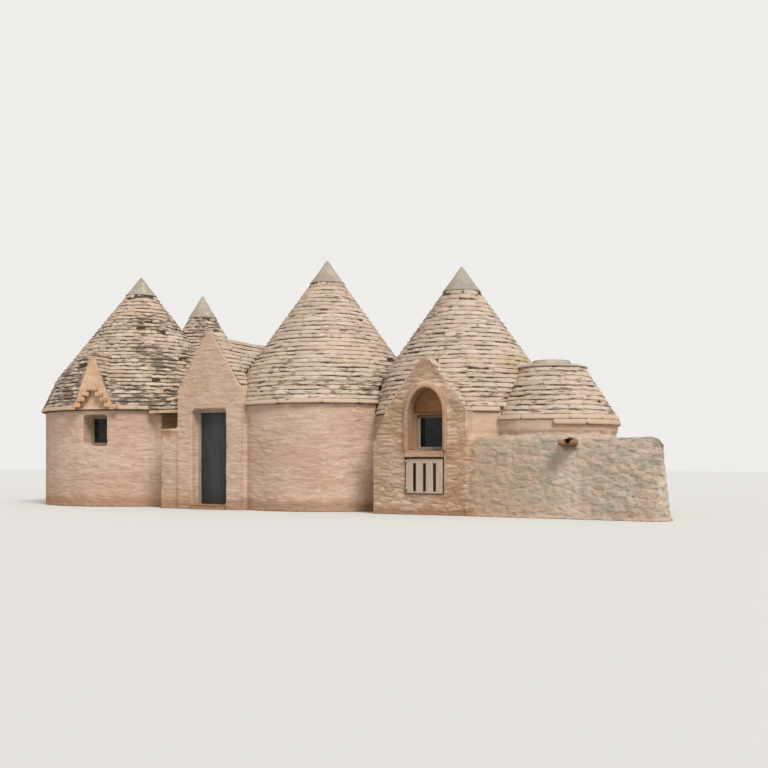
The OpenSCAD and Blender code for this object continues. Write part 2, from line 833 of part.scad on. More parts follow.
// The lock plate, and a lever on a short neck above its middle
handle_in = 70;
plate = [44, 220, 8];
neck_r = 10;
neck_l = 40;
lever = [130, 20, 16];
module door_handle() {
    color(iron) translate([leaf_l + handle_in, leaf_back_y - leaf_t, handle_h + floor_t])
        rotate([90, 0, 0]) {
            translate([-plate.x / 2, -plate.y / 2, 0]) cube(plate);
            translate([0, lever.y * 1.5, plate.z]) cylinder(r = neck_r, h = neck_l);
            translate([-neck_r, lever.y, neck_l - lever.z / 8]) cube(lever);
        }
}
module door_threshold() {
    color(paving) translate([vestibule_left, -front_y - threshold_out, 0])
        cube([door_w, threshold_out + door_set + door_frame_d, threshold_z]);
}

// Masonry that fills the corner between the left drum and the entrance
valley_l = entrance_left - valley_w;
pocket_back = -1500;
valley_top_z = left_wall_h - course_h;
lip_r = 60;
lip_set = 40;
fill_w = 900;
module valley_wall() {
    color(plaster) difference() {
        union() {
            translate([valley_l, -front_y + lip_set, 0])
                cube([valley_w, front_y - lip_set + pocket_back, valley_z]);
            translate([valley_l - fill_w, pocket_back, 0])
                cube([valley_w + fill_w, entrance_back - pocket_back, valley_top_z]);
            translate([valley_l, -front_y + lip_set, valley_z - lip_r]) rotate([0, 90, 0])
                cylinder(r = lip_r, h = valley_w);
        }
        mass(left_t);
        left_to_vestibule();
    }
}
module valley_roof() {
    color(slab) difference() {
        upright(-front_y + entrance_gable_t, entrance_back)
            polygon([[entrance_left, valley_top_z], [entrance_left, shoulder_z],
                     [entrance_left - valley_run, shoulder_z - valley_fall],
                     [entrance_left - valley_run, valley_top_z]]);
        mass(left_t);
    }
}

// A shoulder of masonry that leans on the main front: its top slopes down from just under the
// eave and breaks once, steeper beside the front
shoulder_gap = 40;
shoulder_break = [0.6, 260];
shoulder_d = 800;
module front_shoulder() {
    edge_z = main_wall_h - shoulder_drop;
    color(rubble) difference() {
        translate([-main_front_half, 0, 0]) upright(-front_y, -front_y + shoulder_d)
            polygon([[-shoulder_w, 0], [0, 0], [0, main_wall_h - shoulder_gap],
                     [-shoulder_w * shoulder_break[0], edge_z + shoulder_break[1]],
                     [-shoulder_w, edge_z]]);
        mass(main_t);
        mass(middle_t);
    }
}

// Battered bank: a front profile, an end profile that turns in, and a plan with round corners
bank_start_out = 60;
bank_start_y = front_y + bank_start_out;
bank_turn = atan2(bank_foot_y - bank_start_y, bank_end_x - main_front_half);
bank_l = bank_end_x - main_front_half;
bank_depth = bank_foot_y + bank_back_y;
function rounded_side(z) =
    [for (i = [0 : 4]) let (a = 180 - 22.5 * i)
        [bank_batter + bank_round + bank_round * cos(a), z - bank_round + bank_round * sin(a)]];
module bank_mass() {
    side = rounded_side(bank_z);
    difference() {
        intersection() {
            translate([main_front_half, -bank_start_y, 0]) rotate([0, 0, -bank_turn])
                translate([-bank_l / 4, 0, 0]) rotate([90, 0, 90]) linear_extrude(bank_l * 1.5)
                    polygon(concat([[0, 0]], side, [[bank_depth * 1.25, bank_z], [bank_depth * 1.25, 0]]));
            translate([bank_end_x, -bank_foot_y, 0]) rotate([0, 0, bank_end_turn])
                upright(-over, bank_depth * 1.5)
                    polygon(concat([[0, 0], [-bank_l * 1.5, 0], [-bank_l * 1.5, bank_z],
                                    [-bank_l, bank_z]],
                                   [for (i = [4 : -1 : 0]) [-side[i].x, side[i].y - bank_fall]]));
            linear_extrude(bank_z) bank_plan();
        }
        mass(main_t);
        mass(low_t);
        spout_block();
    }
}
function corner_arc(c, a0, a1) =
    [for (i = [0 : 8]) let (a = a0 + (a1 - a0) * i / 8) c + bank_corner_r * [cos(a), sin(a)]];
module bank_plan() {
    r = bank_corner_r;
    t = bank_end_turn;
    front = [bank_end_x - r / tan(45 - t / 2), r - bank_foot_y];
    back = [bank_end_x - bank_depth * tan(t) - r / tan(45 + t / 2), bank_back_y - r];
    polygon(concat([[main_front_half, bank_back_y], [main_front_half, -bank_foot_y]],
                   corner_arc(front, -90, t), corner_arc(back, t, 90)));
}
bank_split_y = -1000;
module bank_front() {
    color(rubble) intersection() {
        bank_mass();
        translate([0, -bank_foot_y - over, -over])
            cube([bank_end_x + over, bank_foot_y + over + bank_split_y, bank_z + 2 * over]);
    }
}
module bank_side() {
    color(rubble) intersection() {
        bank_mass();
        translate([low_x, bank_split_y, -over])
            cube([bank_end_x, bank_back_y - bank_split_y + over, bank_z + 2 * over]);
    }
}
spout_y = -(bank_start_y + (spout_x - main_front_half) * tan(bank_turn)) + bank_batter;
module spout_block() {
    translate([spout_x - spout_w / 2, spout_y + spout_in - spout_l, spout_z])
        cube([spout_w, spout_l, spout_h]);
}
module rain_spout() {
    color(rubble) difference() {
        spout_block();
        translate([spout_x, spout_y + spout_in - spout_l - over, spout_z + spout_h]) rotate([-90, 0, 0])
            cylinder(r = spout_w * 0.3, h = spout_l + 2 * over);
    }
}

// Floors: flat slabs that fill the rooms and the passages between them
module main_floor() {
    color(paving) linear_extrude(floor_t) {
        circle(main_room_r - fit);
        passage_floor(main_t[0], low_t[0]);
        difference() {
            translate(low_t[0]) circle(low_room_r - fit);
            circle(main_wall_r + fit);
        }
    }
}
module middle_floor() {
    color(paving) linear_extrude(floor_t) difference() {
        union() {
            translate(middle_t[0]) circle(middle_room_r - fit);
            passage_floor(main_t[0], middle_t[0]);
            passage_floor(middle_t[0], [vestibule_right, 0]);
        }
        circle(main_room_r);
        translate([vestibule_left, -front_y]) square([door_w, 2 * front_y]);
    }
}
module entrance_floor() {
    y0 = frame_y + door_frame_d;
    color(paving) linear_extrude(floor_t) difference() {
        union() {
            translate([vestibule_left, y0]) square([door_w, vestibule_back_y - y0]);
            passage_floor([-left_x, 0], [-door_x, 0]);
        }
        translate(left_t[0]) circle(left_room_r);
    }
}
module left_floor() {
    color(paving) linear_extrude(floor_t) {
        translate(left_t[0]) circle(left_room_r - fit);
        passage_floor(left_t[0], rear_t[0]);
        translate(rear_t[0]) circle(rear_room_r - fit);
    }
}

main_left_wall();
main_rear_wall();
main_right_wall();
main_front_left();
main_front_right();
alcove_wall();
main_gable();
alcove_moulding();
alcove_sill();
hatch_panel();
hatch_pintles();
window_frames();
window_panes();
main_roof();
roof_tips();
middle_front_wall();
middle_left_wall();
middle_rear_wall();
middle_right_wall();
middle_roof();
left_front_wall();
left_side_wall();
left_rear_wall();
left_entry_wall();
left_gable();
left_roof();
rear_near_wall();
rear_right_wall();
rear_left_wall();
rear_roof();
low_front_wall();
low_rear_wall();
low_roof();
low_roof_cap();
entrance_left_wall();
entrance_right_wall();
entrance_rear_wall();
entrance_lintel();
entrance_gable();
entrance_roof();
door_frame();
door_leaf();
door_handle();
door_threshold();
valley_wall();
valley_roof();
front_shoulder();
bank_front();
bank_side();
rain_spout();
main_floor();
middle_floor();
entrance_floor();
left_floor();
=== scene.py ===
import json
import math
import random
from collections import namedtuple
import bmesh
import bpy
from mathutils import Matrix, Vector

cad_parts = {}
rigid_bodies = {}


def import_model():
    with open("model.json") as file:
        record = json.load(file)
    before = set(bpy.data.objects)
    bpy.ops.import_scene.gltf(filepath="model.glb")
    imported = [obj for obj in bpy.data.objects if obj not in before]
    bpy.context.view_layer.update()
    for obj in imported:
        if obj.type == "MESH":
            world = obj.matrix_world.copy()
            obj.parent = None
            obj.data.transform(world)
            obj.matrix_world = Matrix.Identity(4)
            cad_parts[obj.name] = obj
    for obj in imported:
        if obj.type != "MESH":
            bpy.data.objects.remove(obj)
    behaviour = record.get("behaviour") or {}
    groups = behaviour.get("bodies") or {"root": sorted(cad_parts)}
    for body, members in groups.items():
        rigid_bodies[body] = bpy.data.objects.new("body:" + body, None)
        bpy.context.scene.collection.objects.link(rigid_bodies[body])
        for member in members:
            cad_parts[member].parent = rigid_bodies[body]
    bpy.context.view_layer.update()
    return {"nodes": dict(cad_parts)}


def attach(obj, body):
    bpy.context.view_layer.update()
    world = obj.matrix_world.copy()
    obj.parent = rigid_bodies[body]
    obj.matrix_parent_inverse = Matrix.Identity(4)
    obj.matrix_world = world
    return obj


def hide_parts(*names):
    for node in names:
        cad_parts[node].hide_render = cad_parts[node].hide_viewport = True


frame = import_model()
bpy.ops.object.select_all(action="DESELECT")

# The view. The house is seen level, from the right of its front. The floor and the backdrop are
# plain and pale, and one wide soft lamp adds to the even light from all round.
EYE = (9.23, -22.44, 1.15)
VIEW_TURN = math.radians(26.8)
LENS_MM = 46.875
SENSOR_MM = 36
HORIZON_SHARE = 0.103
FAR_END = 500
bpy.ops.object.camera_add(location=EYE, rotation=(math.pi / 2, 0, VIEW_TURN))
camera = bpy.context.object
camera.data.lens = LENS_MM
camera.data.sensor_width = SENSOR_MM
camera.data.shift_y = HORIZON_SHARE
camera.data.clip_end = FAR_END
bpy.context.scene.camera = camera
bpy.context.scene.view_settings.view_transform = "Standard"


def tint(red, green, blue):
    """A colour as a shader takes it, from its red, green and blue out of 255."""
    def light(value):
        share = value / 255
        return share / 12.92 if share <= 0.04045 else ((share + 0.055) / 1.055) ** 2.4
    return (light(red), light(green), light(blue), 1)


def add(tree, kind, settings=None, **inputs):
    """Adds one node to a tree; an input takes a number, a colour or another node's output."""
    made = tree.nodes.new(kind)
    for key, value in (settings or {}).items():
        setattr(made, key, value)
    for key, value in inputs.items():
        socket = made.inputs[key.replace("_", " ")]
        if isinstance(value, bpy.types.NodeSocket):
            tree.links.new(value, socket)
        else:
            socket.default_value = value
    return made


def surface(name, roughness, gloss=0.2):
    """A new material with its shader and the place of each point on the piece."""
    material = bpy.data.materials.new(name)
    material.use_nodes = True
    shader = material.node_tree.nodes["Principled BSDF"]
    shader.inputs["Roughness"].default_value = roughness
    shader.inputs["Specular IOR Level"].default_value = gloss
    place = add(material.node_tree, "ShaderNodeTexCoord").outputs["Object"]
    return material, material.node_tree, shader, place


FLOOR_SIZE = 240
FLOOR_Z = -0.003
FLOOR_TONE = (0.60, 0.59, 0.57, 1)
bpy.ops.mesh.primitive_plane_add(size=FLOOR_SIZE, location=(0, 0, FLOOR_Z))
floor = bpy.context.object
floor.name = "floor"
floor_paint, _, floor_shader, _ = surface("floor_paint", 0.9)
floor_shader.inputs["Base Color"].default_value = FLOOR_TONE
floor.data.materials.append(floor_paint)

LAMP_POWER = 2.9
LAMP_WIDTH = math.radians(22)
LAMP_FROM = Vector((0.53, -0.40, 0.75))
bpy.ops.object.light_add(type="SUN")
lamp = bpy.context.object
lamp.data.energy = LAMP_POWER
lamp.data.angle = LAMP_WIDTH
lamp.rotation_euler = LAMP_FROM.to_track_quat("Z", "Y").to_euler()

LIGHT_TONE = (1, 0.985, 0.96, 1)
LIGHT_POWER = 0.62
BACKDROP_TONE = (0.86, 0.85, 0.83, 1)
world = bpy.data.worlds.new("studio")
bpy.context.scene.world = world
world.use_nodes = True
room = world.node_tree
room.nodes.clear()
ray = add(room, "ShaderNodeLightPath")
seen = add(room, "ShaderNodeMath", {"operation": "MAXIMUM"})
room.links.new(ray.outputs["Is Camera Ray"], seen.inputs[0])
room.links.new(ray.outputs["Is Glossy Ray"], seen.inputs[1])
seen_through = add(room, "ShaderNodeMath", {"operation": "MAXIMUM"})
room.links.new(seen.outputs[0], seen_through.inputs[0])
room.links.new(ray.outputs["Is Transmission Ray"], seen_through.inputs[1])
studio = add(room, "ShaderNodeBackground", Color=LIGHT_TONE, Strength=LIGHT_POWER)
backdrop = add(room, "ShaderNodeBackground", Color=BACKDROP_TONE, Strength=1)
both = add(room, "ShaderNodeMixShader", Fac=seen_through.outputs[0])
room.links.new(studio.outputs[0], both.inputs[1])
room.links.new(backdrop.outputs[0], both.inputs[2])
add(room, "ShaderNodeOutputWorld", Surface=both.outputs[0])


# The floors. Slabs of hard grey-white limestone, laid close over packed earth in each room and
# through the passages, and worn smooth.
def noise(tree, place, size, detail=3.0):
    """Soft uneven noise whose lumps have a size in metres along each axis."""
    spread = add(tree, "ShaderNodeVectorMath", {"operation": "DIVIDE"})
    tree.links.new(place, spread.inputs[0])
    spread.inputs[1].default_value = size
    return add(tree, "ShaderNodeTexNoise", Vector=spread.outputs[0], Scale=1.0, Detail=detail).outputs[0]


def span(tree, value, low, high, most=1.0):
    """Goes smoothly from 0 to most while a value goes from low to high."""
    rise = add(tree, "ShaderNodeMapRange", {"interpolation_type": "SMOOTHSTEP"}, Value=value,
               From_Min=low, From_Max=high, To_Min=0.0, To_Max=most)
    return rise.outputs[0]


def mix(tree, share, one, other):
    """A colour between two others."""
    return add(tree, "ShaderNodeMixRGB", Fac=share, Color1=one, Color2=other).outputs[0]


def stones(tree, place, size, wander=0.7):
    """Rough stones fitted together: the distance to the joint, and a tone for each stone."""
    swirl = add(tree, "ShaderNodeTexNoise", Vector=place, Scale=3.0, Detail=2.0).outputs[1]
    shift = add(tree, "ShaderNodeVectorMath", {"operation": "MULTIPLY_ADD"})
    tree.links.new(swirl, shift.inputs[0])
    shift.inputs[1].default_value = [wander * side for side in size]
    tree.links.new(place, shift.inputs[2])
    spread = add(tree, "ShaderNodeVectorMath", {"operation": "DIVIDE"})
    tree.links.new(shift.outputs[0], spread.inputs[0])
    spread.inputs[1].default_value = size
    joint = add(tree, "ShaderNodeTexVoronoi", {"feature": "DISTANCE_TO_EDGE"},
                Vector=spread.outputs[0], Scale=1.0, Randomness=0.85)
    cell = add(tree, "ShaderNodeTexVoronoi", {"feature": "F1"},
               Vector=spread.outputs[0], Scale=1.0, Randomness=0.85)
    parts = add(tree, "ShaderNodeSeparateXYZ", Vector=cell.outputs["Color"])
    return joint.outputs["Distance"], parts.outputs["X"]


def finish(material, shader, colour, height, depth):
    """Wires a colour and a bump of a depth in metres into a shader."""
    tree = material.node_tree
    tree.links.new(colour, shader.inputs["Base Color"])
    bump = add(tree, "ShaderNodeBump", Strength=0.9, Distance=depth, Height=height)
    tree.links.new(bump.outputs[0], shader.inputs["Normal"])


def clothe(node, material):
    """Gives a CAD node a finish."""
    mesh = frame["nodes"][node].data
    mesh.materials.clear()
    mesh.materials.append(material)


FLAG = (0.62, 0.62, 0.62)
paving, tree, shader, place = surface("paving", 0.7)
joint, tone = stones(tree, place, FLAG, 0.1)
flag = mix(tree, tone, tint(176, 160, 138), tint(150, 138, 122))
flag = mix(tree, span(tree, joint, 0.05, 0.0), flag, tint(92, 78, 62))
dirt = noise(tree, place, (0.2, 0.2, 0.2))
flag = mix(tree, span(tree, dirt, 0.5, 0.8, 0.3), flag, tint(120, 104, 86))
finish(paving, shader, flag, span(tree, joint, 0.0, 0.06), 0.01)
for node in ("main_floor", "middle_floor", "entrance_floor", "left_floor"):
    clothe(node, paving)


# The walls. Ring walls of dry rubble, and the entrance walls that tie them together, under many
# coats of limewash thrown on by hand, so their faces wave a little and splashes brown their feet.
def total(tree, *terms):
    """Adds up values, each times its share."""
    so_far = 0.0
    for value, share in terms:
        step = add(tree, "ShaderNodeMath", {"operation": "MULTIPLY_ADD"})
        tree.links.new(value, step.inputs[0])
        step.inputs[1].default_value = share
        if isinstance(so_far, float):
            step.inputs[2].default_value = so_far
        else:
            tree.links.new(so_far, step.inputs[2])
        so_far = step.outputs[0]
    return so_far


def both_of(tree, one, other):
    """The product of two values."""
    product = add(tree, "ShaderNodeMath", {"operation": "MULTIPLY"})
    tree.links.new(one, product.inputs[0])
    tree.links.new(other, product.inputs[1])
    return product.outputs[0]


def place_along(tree, place, axis):
    """One coordinate of each point."""
    return add(tree, "ShaderNodeSeparateXYZ", Vector=place).outputs[axis]


def within(tree, place, low, high, soft=0.05):
    """One inside a box and nought outside it, with soft faces."""
    parts = add(tree, "ShaderNodeSeparateXYZ", Vector=place)
    shares = [span(tree, parts.outputs[axis], edge + way * soft, edge)
              for axis, sides in zip("XYZ", zip(low, high)) for edge, way in zip(sides, (-1, 1))]
    inside = shares[0]
    for share in shares[1:]:
        inside = both_of(tree, inside, share)
    return inside


CHALK = tint(220, 202, 184)
GRIT = tint(128, 104, 82)


def wash(tree, place, pale, dull, worn, contrast=0.25, stone=0.15, splash_h=0.35,
         course=(0.42, 0.42, 0.11), chalk=0.45):
    """Old limewash: its colour, and the soft lumps of the courses that show through it."""
    joint, tone = stones(tree, place, course)
    laid = noise(tree, place, course, 2.0)
    broad = noise(tree, place, (1.9, 1.9, 1.1), 4.0)
    patch = noise(tree, place, (0.24, 0.24, 0.15), 5.0)
    streak = noise(tree, place, (0.25, 0.25, 2.0))
    grit = noise(tree, place, (0.03, 0.03, 0.025), 4.0)
    colour = mix(tree, span(tree, broad, 0.38, 0.62), pale, dull)
    dirt = total(tree, (laid, 0.6), (patch, 0.6), (tone, 0.3 * stone))
    colour = mix(tree, span(tree, dirt, 0.56, 0.82, contrast), colour, worn)
    colour = mix(tree, span(tree, patch, 0.54, 0.70, chalk), colour, CHALK)
    colour = mix(tree, span(tree, streak, 0.54, 0.80, 0.2), colour, worn)
    colour = mix(tree, span(tree, joint, 0.14, 0.0, 0.6 * stone), colour, worn)
    low = span(tree, place_along(tree, place, "Z"), splash_h, 0.0)
    foot = span(tree, total(tree, (low, 0.8), (patch, 0.5)), 0.55, 0.95, 0.8)
    colour = mix(tree, foot, colour, worn)
    colour = mix(tree, span(tree, grit, 0.45, 0.78, 0.2), colour, GRIT)
    bedded = span(tree, joint, 0.0, 0.30)
    lumps = total(tree, (laid, 0.9), (bedded, 0.6 * stone), (patch, 0.8), (grit, 0.15))
    return colour, lumps


MERGE = 0.0003


def take_on(name, nodes):
    """Copies CAD masonry as one merged piece of its own."""
    bpy.ops.object.select_all(action="DESELECT")
    for node in nodes:
        copy = bpy.data.objects.new(name, frame["nodes"][node].data.copy())
        bpy.context.collection.objects.link(copy)
        copy.select_set(True)
        bpy.context.view_layer.objects.active = copy
    if len(nodes) > 1:
        bpy.ops.object.join()
    piece = bpy.context.object
    piece.name = name
    piece.data.materials.clear()
    bpy.ops.object.mode_set(mode="EDIT")
    bpy.ops.mesh.select_all(action="SELECT")
    bpy.ops.mesh.remove_doubles(threshold=MERGE)
    bpy.ops.object.mode_set(mode="OBJECT")
    if piece.data.has_custom_normals:
        bpy.ops.mesh.customdata_custom_splitnormals_clear()
    return piece


def work(piece, name, kind, **settings):
    """Puts one modifier on a piece and applies it."""
    bpy.context.view_layer.objects.active = piece
    step = piece.modifiers.new(name, kind)
    for key, value in settings.items():
        setattr(step, key, value)
    bpy.ops.object.modifier_apply(modifier=step.name)


MEETING = 0.08
FOOT = 0.06


def sink(piece, name, depth_at, neighbours):
    """Sinks the face of a piece by a pattern's depths, but not at its foot or beside a neighbour."""
    tree = bpy.data.node_groups.new(name, "GeometryNodeTree")
    tree.interface.new_socket("Geometry", in_out="INPUT", socket_type="NodeSocketGeometry")
    tree.interface.new_socket("Geometry", in_out="OUTPUT", socket_type="NodeSocketGeometry")
    came = add(tree, "NodeGroupInput")
    place = add(tree, "GeometryNodeInputPosition").outputs[0]
    normal = add(tree, "GeometryNodeInputNormal").outputs[0]
    group = add(tree, "GeometryNodeCollectionInfo", Collection=neighbours)
    whole = add(tree, "GeometryNodeRealizeInstances", Geometry=group.outputs[0])
    near = add(tree, "GeometryNodeProximity", {"target_element": "FACES"})
    tree.links.new(whole.outputs[0], near.inputs[0])
    free = both_of(tree, span(tree, near.outputs["Distance"], 0.0, MEETING),
                   span(tree, place_along(tree, place, "Z"), 0.0, FOOT, -1.0))
    offset = add(tree, "ShaderNodeVectorMath", {"operation": "SCALE"}, Vector=normal,
                 Scale=both_of(tree, free, depth_at(tree, place)))
    moved = add(tree, "GeometryNodeSetPosition", Geometry=came.outputs[0], Offset=offset.outputs[0])
    left = add(tree, "NodeGroupOutput")
    tree.links.new(moved.outputs[0], left.inputs[0])
    work(piece, name, "NODES", node_group=tree)


def masonry(name, nodes, grain, depth_at, material, keep=1.0):
    """One mass of masonry: soft edges from an even skin, worked to its relief."""
    piece = take_on(name, nodes)
    work(piece, "even_skin", "REMESH", mode="VOXEL", voxel_size=grain)
    neighbours = bpy.data.collections.new("neighbours")
    for node, form in frame["nodes"].items():
        if node not in nodes:
            neighbours.objects.link(bpy.data.objects.new("neighbour", form.data))
    sink(piece, name + "_relief", depth_at, neighbours)
    for form in list(neighbours.objects):
        bpy.data.objects.remove(form)
    bpy.data.collections.remove(neighbours)
    if keep < 1:
        work(piece, "thin_out", "DECIMATE", ratio=keep)
    bpy.ops.object.shade_smooth()
    piece.data.materials.append(material)
    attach(piece, "root")
    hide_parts(*nodes)


def hand_laid(tree, place):
    """Limewash that waves over its rubble."""
    wave = noise(tree, place, (0.8, 0.8, 0.4), 2.0)
    courses = noise(tree, place, (0.34, 0.34, 0.16), 2.0)
    return total(tree, (wave, 0.024), (courses, 0.026))


wall_wash, tree, shader, place = surface("wall_wash", 0.95, 0.1)
colour, lumps = wash(tree, place, tint(200, 173, 153), tint(188, 159, 138), tint(160, 124, 98),
                     contrast=0.4, stone=0.25, splash_h=0.6)
# Rain runs off the roofs into the corner beside the entrance, and rust runs down below its lip.
# The pocket over the lip is painted dark, as painted shade in the hollow of the corner.
POCKET = ((-7.92, -2.08, 2.08), (-6.86, -1.2, 2.50))
BELOW_LIP = ((-7.44, -2.4, 1.80), (-7.16, -2.05, 2.01))
runs = span(tree, noise(tree, place, (0.20, 0.20, 0.3), 4.0), 0.30, 0.50, 0.75)
run_off = both_of(tree, within(tree, place, *BELOW_LIP, 0.12), runs)
colour = mix(tree, run_off, colour, tint(172, 130, 96))
# Painted shade: the pocket over the lip is darkened to a mottled brown
pocket_shade = mix(tree, noise(tree, place, (0.2, 0.2, 0.2)), tint(74, 56, 40), tint(128, 102, 72))
colour = mix(tree, within(tree, place, *POCKET, 0.06), colour, pocket_shade)
finish(wall_wash, shader, colour, lumps, 0.036)
WALLS = (
    "main_left_wall", "main_rear_wall",
    "middle_front_wall", "middle_left_wall", "middle_rear_wall", "middle_right_wall",
    "left_front_wall", "left_side_wall", "left_rear_wall", "left_entry_wall",
    "rear_near_wall", "rear_right_wall", "rear_left_wall",
    "entrance_left_wall", "entrance_right_wall", "entrance_rear_wall", "entrance_lintel",
    "entrance_gable", "valley_wall",
)
masonry("walls", WALLS, 0.042, hand_laid, wall_wash, keep=0.4)

# The main front and the bank. A flat gabled block over the main drum, with a shoulder at its left,
# and a battered bank against the drums at its right: flat stones and rubble under limewash so thin
# that the courses stand out, worn grey on the stones of the bank and rusty at its foot.
FLAT_STONE = (0.34, 0.34, 0.105)
RUBBLE = (0.36, 0.36, 0.17)
FRONT_FACE = ((-1.40, -2.40, -0.1), (0.97, -2.17, 3.6))
FRONT_END = ((0.9, -2.8, -0.1), (1.7, -1.9, 1.76))
ALCOVE = ((-0.42, -2.13, 1.30), (0.48, -1.6, 3.0))
ROUND_HATCH = ((-0.478, -2.3, 0.450), (0.468, -2.0, 1.290))
BANK = ((1.04, -2.8, -0.1), (5.7, 1.24, 1.79))
BANK_WASH = ((0.9, -2.9, -0.1), (6.6, 1.24, 1.86))
CRUMBLED_END = ((5.42, -2.8, 1.80), (5.9, 1.4, 2.3))
BELOW_SPOUT = ((3.22, -2.8, 0.0), (3.50, -2.0, 1.50))
ROUND_SPOUT = ((3.20, -2.8, 1.44), (3.44, -2.0, 1.62))


def front_and_bank(tree, place):
    """Flat courses on the face of the front, rubble with nearly flush joints in the bank."""
    joint, tone = stones(tree, place, FLAT_STONE)
    wave = noise(tree, place, (0.36, 0.36, 0.11), 4.0)
    front = total(tree, (span(tree, joint, 0.24, 0.0), 0.009), (wave, 0.016), (tone, 0.007))
    joint, tone = stones(tree, place, RUBBLE)
    wave = noise(tree, place, (0.8, 0.8, 0.5))
    lumps = noise(tree, place, (0.17, 0.17, 0.11), 4.0)
    open_joint = both_of(tree, span(tree, joint, 0.30, 0.0), span(tree, lumps, 0.40, 0.55))
    crumbled = within(tree, place, *CRUMBLED_END, 0.34)
    bank = total(tree, (open_joint, 0.014), (tone, 0.010), (wave, 0.030), (lumps, 0.034), (crumbled, 0.07))
    front = both_of(tree, front, within(tree, place, *FRONT_FACE, 0.03))
    bank = both_of(tree, bank, within(tree, place, *BANK, 0.08))
    return total(tree, (front, 1.0), (bank, 1.0), (hand_laid(tree, place), 0.4))


def rubble_wash(tree, place):
    """Limewash that has worn thin over rubble."""
    joint, tone = stones(tree, place, RUBBLE)
    broad = noise(tree, place, (1.5, 1.5, 0.9), 4.0)
    hue = noise(tree, place, (0.38, 0.38, 0.16), 5.0)
    patch = noise(tree, place, (0.19, 0.19, 0.10), 5.0)
    pits = noise(tree, place, (0.08, 0.08, 0.05))
    grit = noise(tree, place, (0.035, 0.035, 0.03), 5.0)
    across = place_along(tree, place, "X")
    colour = mix(tree, span(tree, broad, 0.38, 0.62), tint(194, 176, 158), tint(180, 161, 142))
    colour = mix(tree, span(tree, hue, 0.50, 0.60, 0.7), colour, tint(160, 154, 139))
    colour = mix(tree, span(tree, hue, 0.46, 0.36, 0.6), colour, tint(192, 165, 144))
    colour = mix(tree, span(tree, patch, 0.54, 0.68, 0.5), colour, tint(212, 196, 180))
    bare = both_of(tree, span(tree, joint, 0.0, 0.30),
                   span(tree, total(tree, (tone, 0.5), (patch, 1.0)), 0.72, 1.05, 0.6))
    colour = mix(tree, bare, colour, tint(140, 136, 124))
    colour = mix(tree, span(tree, across, 3.4, 1.2, 0.55), colour, tint(170, 143, 118))
    low = span(tree, place_along(tree, place, "Z"), 0.7, 0.0)
    rust = total(tree, (low, 0.45), (span(tree, across, 2.8, 1.0), 0.16), (patch, 0.6))
    colour = mix(tree, span(tree, rust, 0.62, 0.90, 0.55), colour, tint(172, 138, 110))
    # The spout's water keeps the bank clean below it; the stones round the spout are painted dark, as
    # painted shade of the spout with some dampness
    washed = within(tree, place, *BELOW_SPOUT, 0.14)
    colour = mix(tree, total(tree, (washed, 0.45)), colour, tint(198, 180, 162))
    spout_shade_and_damp = within(tree, place, *ROUND_SPOUT, 0.05)
    colour = mix(tree, total(tree, (spout_shade_and_damp, 0.6)), colour, tint(92, 72, 54))
    # Painted shade in small pits, more of them towards the rough right end
    holes = both_of(tree, span(tree, pits, 0.60, 0.68, 0.6), span(tree, across, 3.4, 4.8))
    colour = mix(tree, holes, colour, tint(104, 88, 72))
    colour = mix(tree, span(tree, grit, 0.42, 0.8, 0.3), colour, tint(124, 106, 88))
    lumps = total(tree, (span(tree, joint, 0.0, 0.20), 0.25), (patch, 1.2), (pits, 0.4), (grit, 0.25))
    return colour, lumps


def between(tree, share, one, other):
    """A value between two others."""
    blend = add(tree, "ShaderNodeMapRange", Value=share, To_Min=one, To_Max=other)
    return blend.outputs[0]


front_wash, tree, shader, place = surface("front_wash", 0.95, 0.1)
plain, plain_lumps = wash(tree, place, tint(198, 173, 152), tint(188, 161, 139), tint(164, 134, 108),
                          stone=0.1, splash_h=0.1)
front, front_lumps = wash(tree, place, tint(201, 173, 150), tint(185, 155, 130), tint(142, 109, 83),
                          contrast=0.6, stone=0.6, splash_h=0.3, course=FLAT_STONE)
bank, bank_lumps = rubble_wash(tree, place)
of_front = total(tree, (within(tree, place, *FRONT_FACE, 0.02), 1.0),
                 (within(tree, place, *FRONT_END, 0.02), 1.0))
colour = mix(tree, of_front, plain, front)
lumps = between(tree, of_front, total(tree, (plain_lumps, 0.4)), front_lumps)
# Painted shade inside the alcove: its reveals and back are darkened to a warm brown
in_alcove = within(tree, place, *ALCOVE, 0.03)
colour = mix(tree, total(tree, (in_alcove, 0.7)), colour, tint(142, 103, 70))
# Painted shade in the recess round the hatch: its sides are darkened nearly to black-brown
round_hatch = within(tree, place, *ROUND_HATCH, 0.012)
colour = mix(tree, total(tree, (round_hatch, 0.8)), colour, tint(70, 54, 42))
# The washes of the front and of the bank meet along a ragged line
ragged = add(tree, "ShaderNodeVectorMath", {"operation": "MULTIPLY_ADD"})
tree.links.new(noise(tree, place, (0.2, 0.2, 0.2)), ragged.inputs[0])
ragged.inputs[1].default_value = (0.6, 0.0, 0.16)
tree.links.new(place, ragged.inputs[2])
of_bank = both_of(tree, within(tree, ragged.outputs[0], *BANK_WASH),
                  span(tree, place_along(tree, ragged.outputs[0], "X"), 1.28, 1.75))
colour = mix(tree, of_bank, colour, bank)
finish(front_wash, shader, colour, between(tree, of_bank, lumps, bank_lumps), 0.03)
MASS = (
    "main_front_left", "main_front_right", "main_gable", "alcove_wall", "front_shoulder",
    "bank_front", "bank_side", "main_right_wall", "low_front_wall", "low_rear_wall",
)
masonry("front_and_bank", MASS, 0.030, front_and_bank, front_wash, keep=0.8)


# The alcove. A smooth raised band of plaster runs round its mouth, and its sill is one long stone
# with worn edges, under the same smooth wash.
def limewash(name, pale, dull, worn, depth=0.02, **settings):
    """A material of old limewash."""
    material, tree, shader, place = surface(name, 0.95, 0.1)
    colour, lumps = wash(tree, place, pale, dull, worn, **settings)
    finish(material, shader, colour, lumps, depth)
    return material


SHARP = math.radians(35)
SMOOTH = math.radians(40)


